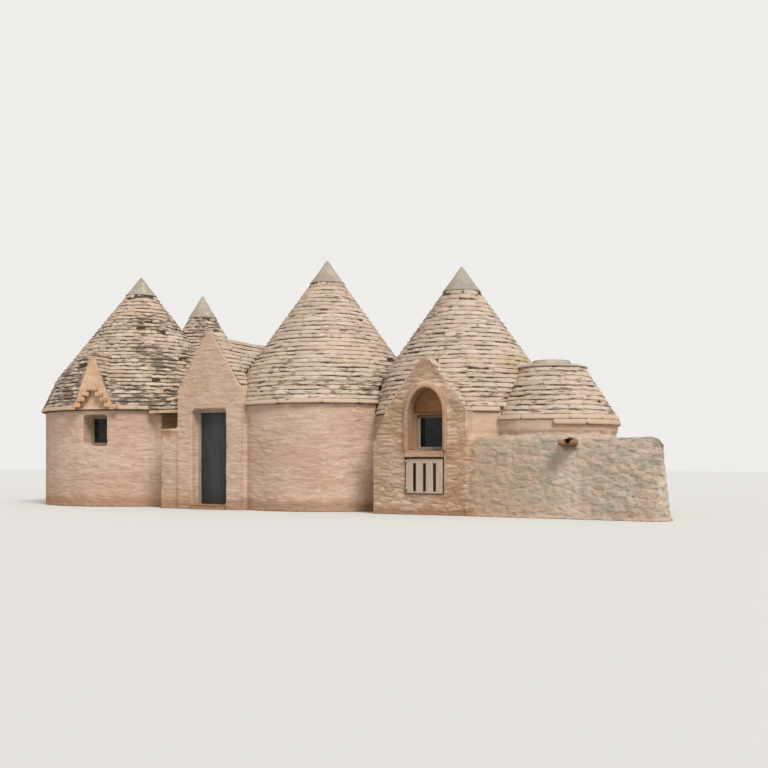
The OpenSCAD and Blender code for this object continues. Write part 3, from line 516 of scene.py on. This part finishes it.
def ease(name, node, width, material, body="root", steps=2):
    """A CAD form with its edges eased by a width."""
    piece = take_on(name, (node,))
    work(piece, "eased", "BEVEL", width=width, segments=steps, limit_method="ANGLE",
         angle_limit=SHARP, harden_normals=False)
    bpy.ops.object.shade_smooth_by_angle(angle=SMOOTH)
    piece.data.materials.append(material)
    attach(piece, body)
    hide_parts(node)


band_wash = limewash("band_wash", tint(182, 149, 121), tint(168, 134, 106), tint(142, 107, 79), 0.012,
                     chalk=0.15)
ease("alcove_band", "alcove_moulding", 0.022, band_wash, steps=3)
masonry("alcove_ledge", ("alcove_sill",), 0.02, hand_laid, band_wash, keep=0.7)

# The windows. Softwood frames in pale grey paint, one fixed sash each, with rebated members and
# clear glass puttied in. The small window's paint is older, and the top of the alcove's frame is painted
# dark as painted shadow under its lintel.
LINTEL_SHADOW = ((-0.6, -2.0, 2.17), (0.7, -1.6, 2.3))
joinery, tree, shader, place = surface("joinery_paint", 0.55, 0.35)
grain = noise(tree, place, (0.02, 0.02, 0.5))
dirt = noise(tree, place, (0.15, 0.15, 0.3), 4.0)
wood = mix(tree, span(tree, grain, 0.4, 0.7, 0.3), tint(164, 154, 138), tint(140, 130, 115))
wood = mix(tree, span(tree, dirt, 0.55, 0.75, 0.5), wood, tint(100, 88, 72))
# Painted shadow of the alcove's lintel on the top member of its frame
wood = mix(tree, within(tree, place, *LINTEL_SHADOW, 0.01), wood, tint(104, 84, 62))
older = span(tree, place_along(tree, place, "X"), -7.9, -8.1, 0.5)
wood = mix(tree, older, wood, tint(112, 98, 82))
finish(joinery, shader, wood, grain, 0.003)
# The glass is opaque and painted nearly black, as painted shade of the dark room behind it; a soft noise
# mottles the black
glass, tree, shader, place = surface("window_glass", 0.05, 0.25)
pane_mottle = span(tree, noise(tree, place, (0.3, 0.3, 0.3)), 0.4, 0.7)
dark = mix(tree, pane_mottle, (0.006, 0.008, 0.007, 1), (0.020, 0.026, 0.022, 1))
tree.links.new(dark, shader.inputs["Base Color"])
ease("sashes", "window_frames", 0.006, joinery)
clothe("window_panes", glass)

# The hatch. Four pale planed boards on two battens, with open slots between them, hung on two
# iron pintles at its left. It closes the cupboard under the alcove.
HATCH_Y = (-2.3, -2.0)
SLOTS_X = (-0.25, -0.005, 0.24)
SLOT_HALF = 0.035
SLOT_Z = (0.517, 1.148)
boards, tree, shader, place = surface("pale_boards", 0.7, 0.2)
grain = noise(tree, place, (0.012, 0.2, 0.6), 4.0)
wide = noise(tree, place, (0.11, 0.5, 2.0), 1.0)
wood = mix(tree, span(tree, grain, 0.35, 0.7), tint(186, 168, 151), tint(164, 145, 127))
wood = mix(tree, span(tree, wide, 0.45, 0.6, 0.5), wood, tint(172, 152, 136))
# Painted shade, with some dirt, in the slots, and painted shadow lines along the top edge and the right
# one
for slot_x in SLOTS_X:
    low = (slot_x - SLOT_HALF, HATCH_Y[0], SLOT_Z[0])
    high = (slot_x + SLOT_HALF, HATCH_Y[1], SLOT_Z[1])
    wood = mix(tree, within(tree, place, low, high, 0.002), wood, tint(54, 44, 36))
for axis, low, high in (("Z", 1.236, 1.246), ("X", 0.430, 0.438)):
    wood = mix(tree, span(tree, place_along(tree, place, axis), low, high), wood, tint(54, 42, 34))
finish(boards, shader, wood, grain, 0.002)
ease("hatch_boards", "hatch_panel", 0.004, boards, "hatch")


def mottled(name, roughness, gloss, size, detail, sides, one, other, depth):
    """A finish that wanders between two tones, where a noise goes from side to side."""
    material, tree, shader, place = surface(name, roughness, gloss)
    patch = noise(tree, place, size, detail)
    finish(material, shader, mix(tree, span(tree, patch, *sides), one, other), patch, depth)
    return material


iron = mottled("old_iron", 0.55, 0.4, (0.03, 0.03, 0.03), 5.0, (0.4, 0.7),
               tint(52, 48, 46), tint(96, 62, 42), 0.001)
ease("hatch_pins", "hatch_pintles", 0.002, iron)

# The left gable. A plastered triangle over the window, sunk between corbelled stones that step
# in from both sides and meet under its point.
gable_wash = limewash("gable_wash", tint(204, 173, 145), tint(192, 158, 129), tint(164, 128, 94))
masonry("left_gable_front", ("left_gable",), 0.022, hand_laid, gable_wash)

# The door. Dark grey planks in a pale painted frame, hung at the right, with a plain iron lever,
# over a thick worn threshold stone.
door_paint = mottled("door_paint", 0.5, 0.35, (0.02, 0.02, 0.7), 4.0, (0.4, 0.7),
                     tint(58, 62, 63), tint(42, 44, 45), 0.003)
ease("door_planks", "door_leaf", 0.004, door_paint, "door")
ease("door_casing", "door_frame", 0.005, joinery)
lever_iron = mottled("lever_iron", 0.45, 0.5, (0.04, 0.04, 0.04), 4.0, (0.4, 0.7),
                     tint(44, 44, 46), tint(66, 64, 62), 0.0005)
ease("door_lever", "door_handle", 0.003, lever_iron, "door")
masonry("door_stone", ("door_threshold",), 0.02, hand_laid, band_wash, keep=0.6)


# The roofs. Dry cones of flat limestone slabs, each ring a little smaller than the one below and
# every slab hewn to the slope, with joints painted dark as deep shade. Under thin limewash the slabs
# look much alike, but rain and lichen have blackened patches of the left and rear ones.
def split_run(run, short, long, dice):
    """Cuts a run into uneven lengths; gives the middle and the length of each."""
    cuts = [0.0]
    while cuts[-1] < run - short * 0.5:
        cuts.append(cuts[-1] + dice.uniform(short, long))
    fit = run / cuts[-1]
    return [((one + two) / 2 * fit, (two - one) * fit) for one, two in zip(cuts, cuts[1:])]


def select_edges(test):
    """Selects the edges of the mesh in edit mode whose two ends pass a test."""
    bpy.ops.mesh.select_all(action="DESELECT")
    shape = bmesh.from_edit_mesh(bpy.context.object.data)
    for edge in shape.edges:
        edge.select_set(test(edge.verts[0].co, edge.verts[1].co))
    bmesh.update_edit_mesh(bpy.context.object.data)


SLAB = Vector((0.40, 0.24, 0.10))
HEWN_IN = 0.035
NEAR = 0.01
COURSE_H = 0.11


def cut_slab(seed, cuts=3, rough=0.014, soft=0.012):
    """A rough slab: the foot of its outer face on y = 0 and z = 0, the face hewn to the slope."""
    bpy.ops.mesh.primitive_cube_add(size=1, location=(0, SLAB.y / 2, SLAB.z / 2))
    slab = bpy.context.object
    slab.scale = SLAB
    bpy.ops.object.transform_apply(location=True, rotation=True, scale=True)
    bpy.ops.object.mode_set(mode="EDIT")
    bpy.ops.mesh.select_mode(type="EDGE")
    select_edges(lambda one, two: max(one.y, two.y) < NEAR and min(one.z, two.z) > SLAB.z - NEAR)
    bpy.ops.transform.translate(value=(0, HEWN_IN, 0))
    select_edges(lambda one, two: abs(one.x - two.x) > NEAR)
    bpy.ops.mesh.subdivide(number_cuts=cuts)
    bpy.ops.mesh.select_all(action="SELECT")
    bpy.ops.transform.vertex_random(offset=rough, seed=seed)
    bpy.ops.mesh.edges_select_sharp(sharpness=math.radians(50))
    bpy.ops.mesh.bevel(offset=soft, segments=1)
    bpy.ops.mesh.select_all(action="SELECT")
    bpy.ops.transform.vertex_random(offset=0.3 * rough, seed=seed + 9)
    bpy.ops.object.mode_set(mode="OBJECT")
    bpy.ops.object.shade_smooth_by_angle(angle=SMOOTH)
    return slab


OVERLAP = 0.006
MOST_LIFT = 0.006
MOST_TILT = 5
EAVE_THICK = (1.0, 1.08)
ROUGH_THICK = (0.82, 1.04)
EAVE_TONE = 1.4


def hew(dice, length, eave=False, depth=1.0):
    """One slab on the origin, with its own small faults; the slabs of an eave are smoother."""
    mesh = dice.choice(eave_slabs if eave else rough_slabs).data.copy()
    thick = dice.uniform(*(EAVE_THICK if eave else ROUGH_THICK))
    tone = dice.uniform(EAVE_TONE, 1.8) if eave else dice.random()
    lift = Matrix.Translation((0, 0, dice.uniform(0, MOST_LIFT)))
    tilt = Matrix.Rotation(math.radians(dice.uniform(0, MOST_TILT)), 4, "X")
    size = Matrix.Diagonal(((length + OVERLAP) / SLAB.x, depth * dice.uniform(0.9, 1.1), thick, 1))
    mesh.transform(lift @ tilt @ size)
    mesh.attributes.new("tone", "FLOAT", "POINT").data.foreach_set("value", [tone] * len(mesh.vertices))
    slab = bpy.data.objects.new("slab", mesh)
    bpy.context.collection.objects.link(slab)
    return slab


def set_straight(slab, where, angle):
    """Lays a slab in a straight course, its outer face looking along an angle."""
    slab.data.transform(Matrix.Translation(where) @ Matrix.Rotation(angle + math.pi / 2, 4, "Z"))
    return slab


def set_round(slab, centre, radius, angle, z):
    """Lays a slab in a ring, bent to it."""
    for corner in slab.data.vertices:
        turn = angle + corner.co.x / radius
        out_by = radius - corner.co.y
        corner.co = (centre[0] + out_by * math.cos(turn), centre[1] + out_by * math.sin(turn),
                     z + corner.co.z)
    return slab


def gather(name, slabs, core, material):
    """Joins the slabs of a roof and its core into one piece."""
    bpy.ops.object.select_all(action="DESELECT")
    for slab in slabs:
        slab.data.materials.append(material)
        slab.select_set(True)
    core.select_set(True)
    bpy.context.view_layer.objects.active = core
    bpy.ops.object.join()
    piece = bpy.context.object
    piece.name = name
    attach(piece, "root")
    return piece


Cone = namedtuple("Cone", "axis eave_z eave_r knee_z knee_r apex_z courses")
CONES = {
    "main": Cone((0, 0), 2.30, 2.12, 3.25, 1.91, 5.92, 27),
    "middle": Cone((-3.75, 0), 2.57, 2.40, 3.40, 2.15, 6.40, 29),
    "left": Cone((-10.15, 0.30), 2.56, 2.78, 3.50, 2.35, 6.55, 31),
    "rear": Cone((-11.05, 4.40), 2.50, 2.30, 3.40, 1.95, 6.70, 31),
    "low": Cone((2.30, -0.20), 2.10, 1.57, 3.31, 0.80, 4.11, 11),
}
WEATHERED = ("left", "rear")


def roof_r(cone, z):
    """Radius of a cone at a height."""
    if z < cone.knee_z:
        return cone.eave_r + (cone.knee_r - cone.eave_r) * (z - cone.eave_z) / (cone.knee_z - cone.eave_z)
    return cone.knee_r * (cone.apex_z - z) / (cone.apex_z - cone.knee_z)


Gable = namedtuple("Gable", "half fall foot_z rise")
MAIN_GABLE = Gable(1.01, 0.92, 2.30, 1.20)
LEFT_GABLE = Gable(0.60, 0.53, 2.56, 1.44)
ENTRANCE_GABLE = Gable(0.99, 0.89, 3.00, 1.40)
ENTRANCE_ROOF = Gable(0.99, 0.89, 2.87, 1.40)
LEFT_TURN = math.radians(13)
LEFT_GABLE_OUT = 2.74


def gable_half(gable, z):
    """Half of the width of a gable, or of the roof behind it, at a height."""
    climbed = max(0.0, z - gable.foot_z)
    return gable.half - gable.fall * climbed / gable.rise if climbed < gable.rise else 0.0


def from_left_gable(across, out_by, z):
    """A point beside the middle of the left gable, which is turned away from the front."""
    centre = CONES["left"].axis
    return (centre[0] + across * math.cos(LEFT_TURN) + out_by * math.sin(LEFT_TURN),
            centre[1] + across * math.sin(LEFT_TURN) - out_by * math.cos(LEFT_TURN), z)


# Each course starts at another angle, so that its joints don't stand over the ones below
TURN_EACH_M = 15
GABLE_LAP = 0.04


def gable_stretch(name, z, radius):
    """The middle of a gable as an angle, and the length of a course that the gable takes up."""
    for roof, gable, turn in (("main", MAIN_GABLE, 0.0), ("left", LEFT_GABLE, LEFT_TURN)):
        if name == roof and gable_half(gable, z) > 0:
            return turn - math.pi / 2, 2 * radius * math.asin(gable_half(gable, z) / radius) - GABLE_LAP
    return z * TURN_EACH_M, 0.0


BURY = 0.17
SADDLE_BURY = 0.1
BELOW_EAVE = 0.3
DOOR_X = -5.90
SADDLE_Y = (-1.7, 1.5)
TALL_GABLE_Y = (-2.3, -1.6)


def buried(name, x, y, z):
    """Whether the middle of a slab lies deep in another part."""
    for other, cone in CONES.items():
        top = cone.eave_z + COURSE_H * cone.courses
        if other != name and cone.eave_z - BELOW_EAVE < z < top:
            reach = roof_r(cone, max(z, cone.eave_z)) - BURY
            if math.hypot(x - cone.axis[0], y - cone.axis[1]) < reach:
                return True
    across = abs(x - DOOR_X)
    if SADDLE_Y[0] < y < SADDLE_Y[1] and across + SADDLE_BURY < gable_half(ENTRANCE_ROOF, z):
        return True
    return TALL_GABLE_Y[0] < y < TALL_GABLE_Y[1] and across < gable_half(ENTRANCE_GABLE, z)


YELLOW_LICHEN = ((1.35, -0.9, 3.22), (1.75, 0.0, 3.5))


def slab_stone(name, light, mid, dark, eave, lichen):
    """Limestone slabs under thin limewash, each with its own tone, with lichen and water stains."""
    material, tree, shader, place = surface(name, 0.92, 0.15)
    own = add(tree, "ShaderNodeAttribute", {"attribute_name": "tone"}).outputs["Fac"]
    cloud = noise(tree, place, (0.24, 0.24, 0.12), 4.0)
    grit = noise(tree, place, (0.025, 0.025, 0.02), 5.0)
    spots = noise(tree, place, (0.30, 0.30, 0.06), 5.0)
    mood = noise(tree, place, (1.3, 1.3, 0.8))
    of_eave = span(tree, own, 1.1, EAVE_TONE)
    colour = mix(tree, span(tree, total(tree, (own, 0.35), (cloud, 1.0)), 0.35, 1.0), light, mid)
    colour = mix(tree, span(tree, cloud, 0.56, 0.70, 0.5), colour, CHALK)
    colour = mix(tree, of_eave, colour, eave)
    lower_down = span(tree, place_along(tree, place, "Z"), 4.6, 2.7)
    stain = total(tree, (spots, 1.0), (mood, 0.6), (lower_down, 0.06), (of_eave, -0.12))
    colour = mix(tree, span(tree, stain, 1.0 - lichen, 1.08 - lichen, 0.85), colour, dark)
    yellow = both_of(tree, within(tree, place, *YELLOW_LICHEN, 0.2), span(tree, cloud, 0.40, 0.60, 0.45))
    colour = mix(tree, yellow, colour, tint(176, 150, 78))
    colour = mix(tree, span(tree, grit, 0.4, 0.8, 0.35), colour, mid)
    finish(material, shader, colour, total(tree, (grit, 0.3), (cloud, 1.0)), 0.016)
    return material


def joint_filling(name, filled):
    """What shows between slabs: deep shade, and limewash where it has run into the joints."""
    material, tree, shader, place = surface(name, 1.0, 0.05)
    run_in = noise(tree, place, (0.34, 0.34, 0.07))
    grit = noise(tree, place, (0.06, 0.06, 0.06), 4.0)
    shade = mix(tree, grit, tint(60, 51, 44), tint(96, 81, 68))
    colour = mix(tree, span(tree, run_in, 0.5 + filled, 0.45 + filled), shade, tint(176, 152, 130))
    finish(material, shader, colour, grit, 0.01)
    return material


pale_slabs = slab_stone("pale_slabs", tint(197, 179, 161), tint(176, 156, 137), tint(106, 91, 78),
                        tint(190, 166, 144), 0.07)
dark_slabs = slab_stone("dark_slabs", tint(201, 180, 160), tint(168, 147, 128), tint(84, 76, 69),
                        tint(186, 160, 137), 0.165)
pale_joints = joint_filling("pale_joints", 0.03)
dark_joints = joint_filling("dark_joints", -0.08)
# The lining of the alcove's head is painted a darker brown than the walls, as painted shade inside the
# head
lining_wash = limewash("lining_wash", tint(162, 121, 82), tint(148, 107, 70), tint(122, 86, 54), 0.012,
                       chalk=0.1)
rough_slabs = [cut_slab(seed) for seed in (3, 14, 25, 36, 47)]
eave_slabs = [cut_slab(seed, 7, 0.007, 0.02) for seed in (58, 69)]

CORE_IN = 0.05
CORE_SHARE = 0.93
HEAD_HALF = 0.6
HEAD_Y = -1.6
HEAD_TOP = 3.1
PALE_L = (0.42, 0.14)
WEATHERED_L = (0.26, 0.10)
EAVE_L = (0.7, 1.3)
SHORTEST = 0.45
SET_BACK = 0.024
VERGE_COURSES = 14
VERGE_OUT = 0.02
VERGE_LAP = 0.14
LEAST_HALF = 0.05
MAIN_VERGE_Y = -1.94
MAIN_VERGE_L = 0.40
LEFT_VERGE_OUT = LEFT_GABLE_OUT - 0.05
DRIP_R = 1.565
DRIP_START = math.radians(-71)
DRIP_SWEEP = math.radians(135)
for name, cone in CONES.items():
    centre = cone.axis
    weathered = name in WEATHERED
    lost_share = 0.012 if weathered else 0.004
    dice = random.Random(name)
    core = take_on(name + "_core", (name + "_roof",))
    core.data.materials.append(dark_joints if weathered else pale_joints)
    core.data.materials.append(lining_wash)
    for face in core.data.polygons:
        # The head of the alcove reaches into the main roof, and is plastered with the rest of it
        spot = face.center
        of_head = abs(spot.x) < HEAD_HALF and spot.y < HEAD_Y and spot.z < HEAD_TOP
        face.material_index = int(name == "main" and of_head)
    for corner in core.data.vertices:
        out_by = Vector((corner.co.x - centre[0], corner.co.y - centre[1], 0))
        if out_by.length > CORE_SHARE * roof_r(cone, corner.co.z):
            corner.co -= CORE_IN * out_by.normalized()
    slabs = []
    for course in range(cone.courses):
        z = cone.eave_z + course * COURSE_H
        out_r = roof_r(cone, z + COURSE_H / 2)
        turn, taken = gable_stretch(name, z, out_r)
        least, more = WEATHERED_L if weathered else PALE_L
        long = least + more * out_r
        short, long = (SHORTEST * long, long) if course else EAVE_L
        for middle, length in split_run(math.tau * out_r - taken, short, long, dice):
            angle = turn + (taken / 2 + middle) / out_r
            face_r = out_r - (dice.uniform(0, SET_BACK) if course else 0.0)
            spot = Vector(centre) + (face_r - 0.05) * Vector((math.cos(angle), math.sin(angle)))
            lost = dice.random() < lost_share
            if not lost and not buried(name, spot.x, spot.y, z):
                slabs.append(set_round(hew(dice, length, course == 0), centre, face_r, angle, z))
    # The verge of a gable: slabs beside its slopes bring the courses out to its face
    for course in range(VERGE_COURSES):
        z = cone.eave_z + course * COURSE_H
        if name == "main" and gable_half(MAIN_GABLE, z + COURSE_H) > LEAST_HALF:
            for side, angle in ((1, 0), (-1, math.pi)):
                where = (side * (gable_half(MAIN_GABLE, z) + VERGE_OUT), MAIN_VERGE_Y, z)
                slabs.append(set_straight(hew(dice, MAIN_VERGE_L), where, angle))
        if name == "left" and course and gable_half(LEFT_GABLE, z) > LEAST_HALF:
            long = LEFT_VERGE_OUT - (roof_r(cone, z) - VERGE_LAP)
            for side, angle in ((1, LEFT_TURN), (-1, LEFT_TURN + math.pi)):
                across = side * (gable_half(LEFT_GABLE, z) + VERGE_OUT)
                where = from_left_gable(across, LEFT_VERGE_OUT - long / 2, z)
                slabs.append(set_straight(hew(dice, long, depth=0.8), where, angle))
    if name == "low":
        # One more course under the eave, round the front and the right of the low drum
        for middle, length in split_run(DRIP_SWEEP * DRIP_R, 0.7, 1.2, dice):
            slab = hew(dice, length, True, 0.5)
            angle = DRIP_START + middle / DRIP_R
            slabs.append(set_round(slab, centre, DRIP_R, angle, cone.eave_z - COURSE_H))
    piece = gather(name + "_slab_roof", slabs, core, dark_slabs if weathered else pale_slabs)
    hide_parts(name + "_roof")


# The entrance roof. Two slopes of level courses run back from the tall gable, between the cones,
# and slabs cover the slopes of the gable itself.
REAR_Y = 1.55
SADDLE_COURSES = 17
SADDLE_Z = 2.55
SADDLE_TOP = 4.2
SADDLE_START_Y = -1.69
SADDLE_RUN = 3.28
TALL_VERGE_Y = -1.91
TALL_VERGE_L = 0.46


def take_on_core(name, node, material):
    """A copy of a CAD roof that fills the joints of its slabs; its rear face is limewashed."""
    core = take_on(name, (node,))
    core.data.materials.append(material)
    core.data.materials.append(wall_wash)
    for face in core.data.polygons:
        face.material_index = int(face.center.y > REAR_Y)
    return core


dice = random.Random(8)
core = take_on_core("entrance_core", "entrance_roof", pale_joints)
slabs = []
for course in range(SADDLE_COURSES):
    z = SADDLE_Z + course * COURSE_H
    for side, angle in ((1, 0), (-1, math.pi)):
        for middle, length in split_run(SADDLE_RUN, 0.3, 0.6, dice):
            x = DOOR_X + side * (gable_half(ENTRANCE_ROOF, z) + VERGE_OUT)
            y = middle + SADDLE_START_Y
            if z < SADDLE_TOP and not buried("entrance", x + side * 0.2, y, z):
                slabs.append(set_straight(hew(dice, length), (x, y, z), angle))
        if z > ENTRANCE_GABLE.foot_z:
            x = DOOR_X + side * (gable_half(ENTRANCE_GABLE, z) + VERGE_OUT)
            slabs.append(set_straight(hew(dice, TALL_VERGE_L), (x, TALL_VERGE_Y, z), angle))
piece = gather("entrance_slab_roof", slabs, core, pale_slabs)
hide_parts("entrance_roof")

# The corner roof. The courses of the left roof run on over the corner beside the entrance, and the
# slabs on its top fall away from the gable, to send the rain to the lip in the corner.
CORNER_X = (-8.20, -6.89)
CORNER_Z = 2.45
CORNER_COURSES = 5
CORNER_FACE_Y = -1.71
CORNER_EDGE_Y = -1.69
CORNER_IN = 0.07
UNDER_TOP = 0.06
CORNER_TOP_Z = 3.0
CORNER_SLOPE = 0.208
TOP_ROWS = 6
TOP_ROW_W = 0.20
TOP_START = (-7.09, -1.66, 2.92)
TOP_RUN = 3.2
core = take_on_core("corner_core", "valley_roof", dark_joints)
bpy.ops.object.mode_set(mode="EDIT")
bpy.ops.mesh.select_mode(type="VERT")
bpy.ops.mesh.select_all(action="DESELECT")
shape = bmesh.from_edit_mesh(core.data)
for corner in shape.verts:
    corner.select_set(corner.co.y < CORNER_EDGE_Y)
bmesh.update_edit_mesh(core.data)
bpy.ops.transform.translate(value=(0, CORNER_IN, 0))
bpy.ops.object.mode_set(mode="OBJECT")
slabs = []
for course in range(CORNER_COURSES):
    z = CORNER_Z + course * COURSE_H
    for middle, length in split_run(CORNER_X[1] - CORNER_X[0], 0.25, 0.45, dice):
        x = CORNER_X[0] + middle
        if z + UNDER_TOP < CORNER_TOP_Z - CORNER_SLOPE * (CORNER_X[1] - x):
            slab = hew(dice, length, course == 0)
            slabs.append(set_straight(slab, (x, CORNER_FACE_Y, z), -math.pi / 2))
for row in range(TOP_ROWS):
    for middle, length in split_run(TOP_RUN, 0.3, 0.55, dice):
        where = (TOP_START[0] - row * TOP_ROW_W, middle + TOP_START[1],
                 TOP_START[2] - row * TOP_ROW_W * CORNER_SLOPE)
        if not buried("corner", *where):
            slabs.append(set_straight(hew(dice, length), where, math.pi))
piece = gather("corner_slab_roof", slabs, core, dark_slabs)
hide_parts("valley_roof")

# The corbels of the left gable. Small stones, bare and rusty, built in one over the other so that
# they step in over its sunk field.
STEP_H = 0.145
STEP_LIFT = 0.085
STEPS = [LEFT_GABLE.half * (4 - step) / 4.6 for step in range(5)]
CORBEL_W = 0.20
TOP_CORBEL_W = 0.17
CORBEL_OUT = 2.78
bare_stone = mottled("bare_stone", 0.9, 0.15, (0.10, 0.10, 0.06), 4.0, (0.35, 0.65),
                     tint(196, 162, 130), tint(170, 130, 98), 0.012)
corbels = []
for step in range(-1, 4):
    across = (STEPS[step] + STEPS[step + 1]) / 2 if step >= 0 else LEFT_GABLE.half
    wide = CORBEL_W if step < 3 else TOP_CORBEL_W
    z = LEFT_GABLE.foot_z + STEP_H * (step + 1) - (STEP_LIFT if step >= 0 else 0.0)
    for side in (1, -1):
        corbel = hew(dice, wide, True, 0.55)
        corbel.data.transform(Matrix.Diagonal((1, 1, 1.15, 1)))
        spot = from_left_gable(side * across, CORBEL_OUT, z)
        corbels.append(set_straight(corbel, spot, LEFT_TURN - math.pi / 2))
bpy.ops.object.select_all(action="DESELECT")
for corbel in corbels:
    corbel.data.materials.append(bare_stone)
    corbel.select_set(True)
bpy.context.view_layer.objects.active = corbels[0]
bpy.ops.object.join()
corbel = bpy.context.object
corbel.name = "gable_corbels"
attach(corbel, "root")
for pattern in rough_slabs + eave_slabs:
    bpy.data.objects.remove(pattern)


# The points of the cones and the flat top of the low roof: lime plaster, smoothed by hand over
# the last stones and gone grey in the rain.
def smoothed(tree, place):
    """Plaster smoothed by hand."""
    return total(tree, (hand_laid(tree, place), 0.4))


tip_wash = limewash("tip_wash", tint(172, 161, 146), tint(154, 143, 129), tint(118, 106, 92), contrast=0.2)
masonry("plaster_tips", ("roof_tips",), 0.02, smoothed, tip_wash, keep=0.6)
masonry("plaster_cap", ("low_roof_cap",), 0.02, smoothed, tip_wash, keep=0.6)

# The rain spout. One hollowed block of orange limestone, built into the head of the bank, throws
# the roof water clear of it. Its underside is painted dark, as painted shade with some dampness.
SPOUT_SHADE_AND_DAMP_Z = (1.60, 1.55)
spout_stone, tree, shader, place = surface("spout_stone", 0.9, 0.15)
cloud = noise(tree, place, (0.12, 0.12, 0.06), 4.0)
stone = mix(tree, span(tree, cloud, 0.35, 0.65), tint(178, 140, 110), tint(138, 98, 70))
# Painted shade with some dampness: the foot of the spout is darkened
lower_down = span(tree, place_along(tree, place, "Z"), *SPOUT_SHADE_AND_DAMP_Z, 0.7)
finish(spout_stone, shader, mix(tree, lower_down, stone, tint(84, 62, 46)), cloud, 0.01)
masonry("spout_block", ("rain_spout",), 0.016, hand_laid, spout_stone, keep=0.7)
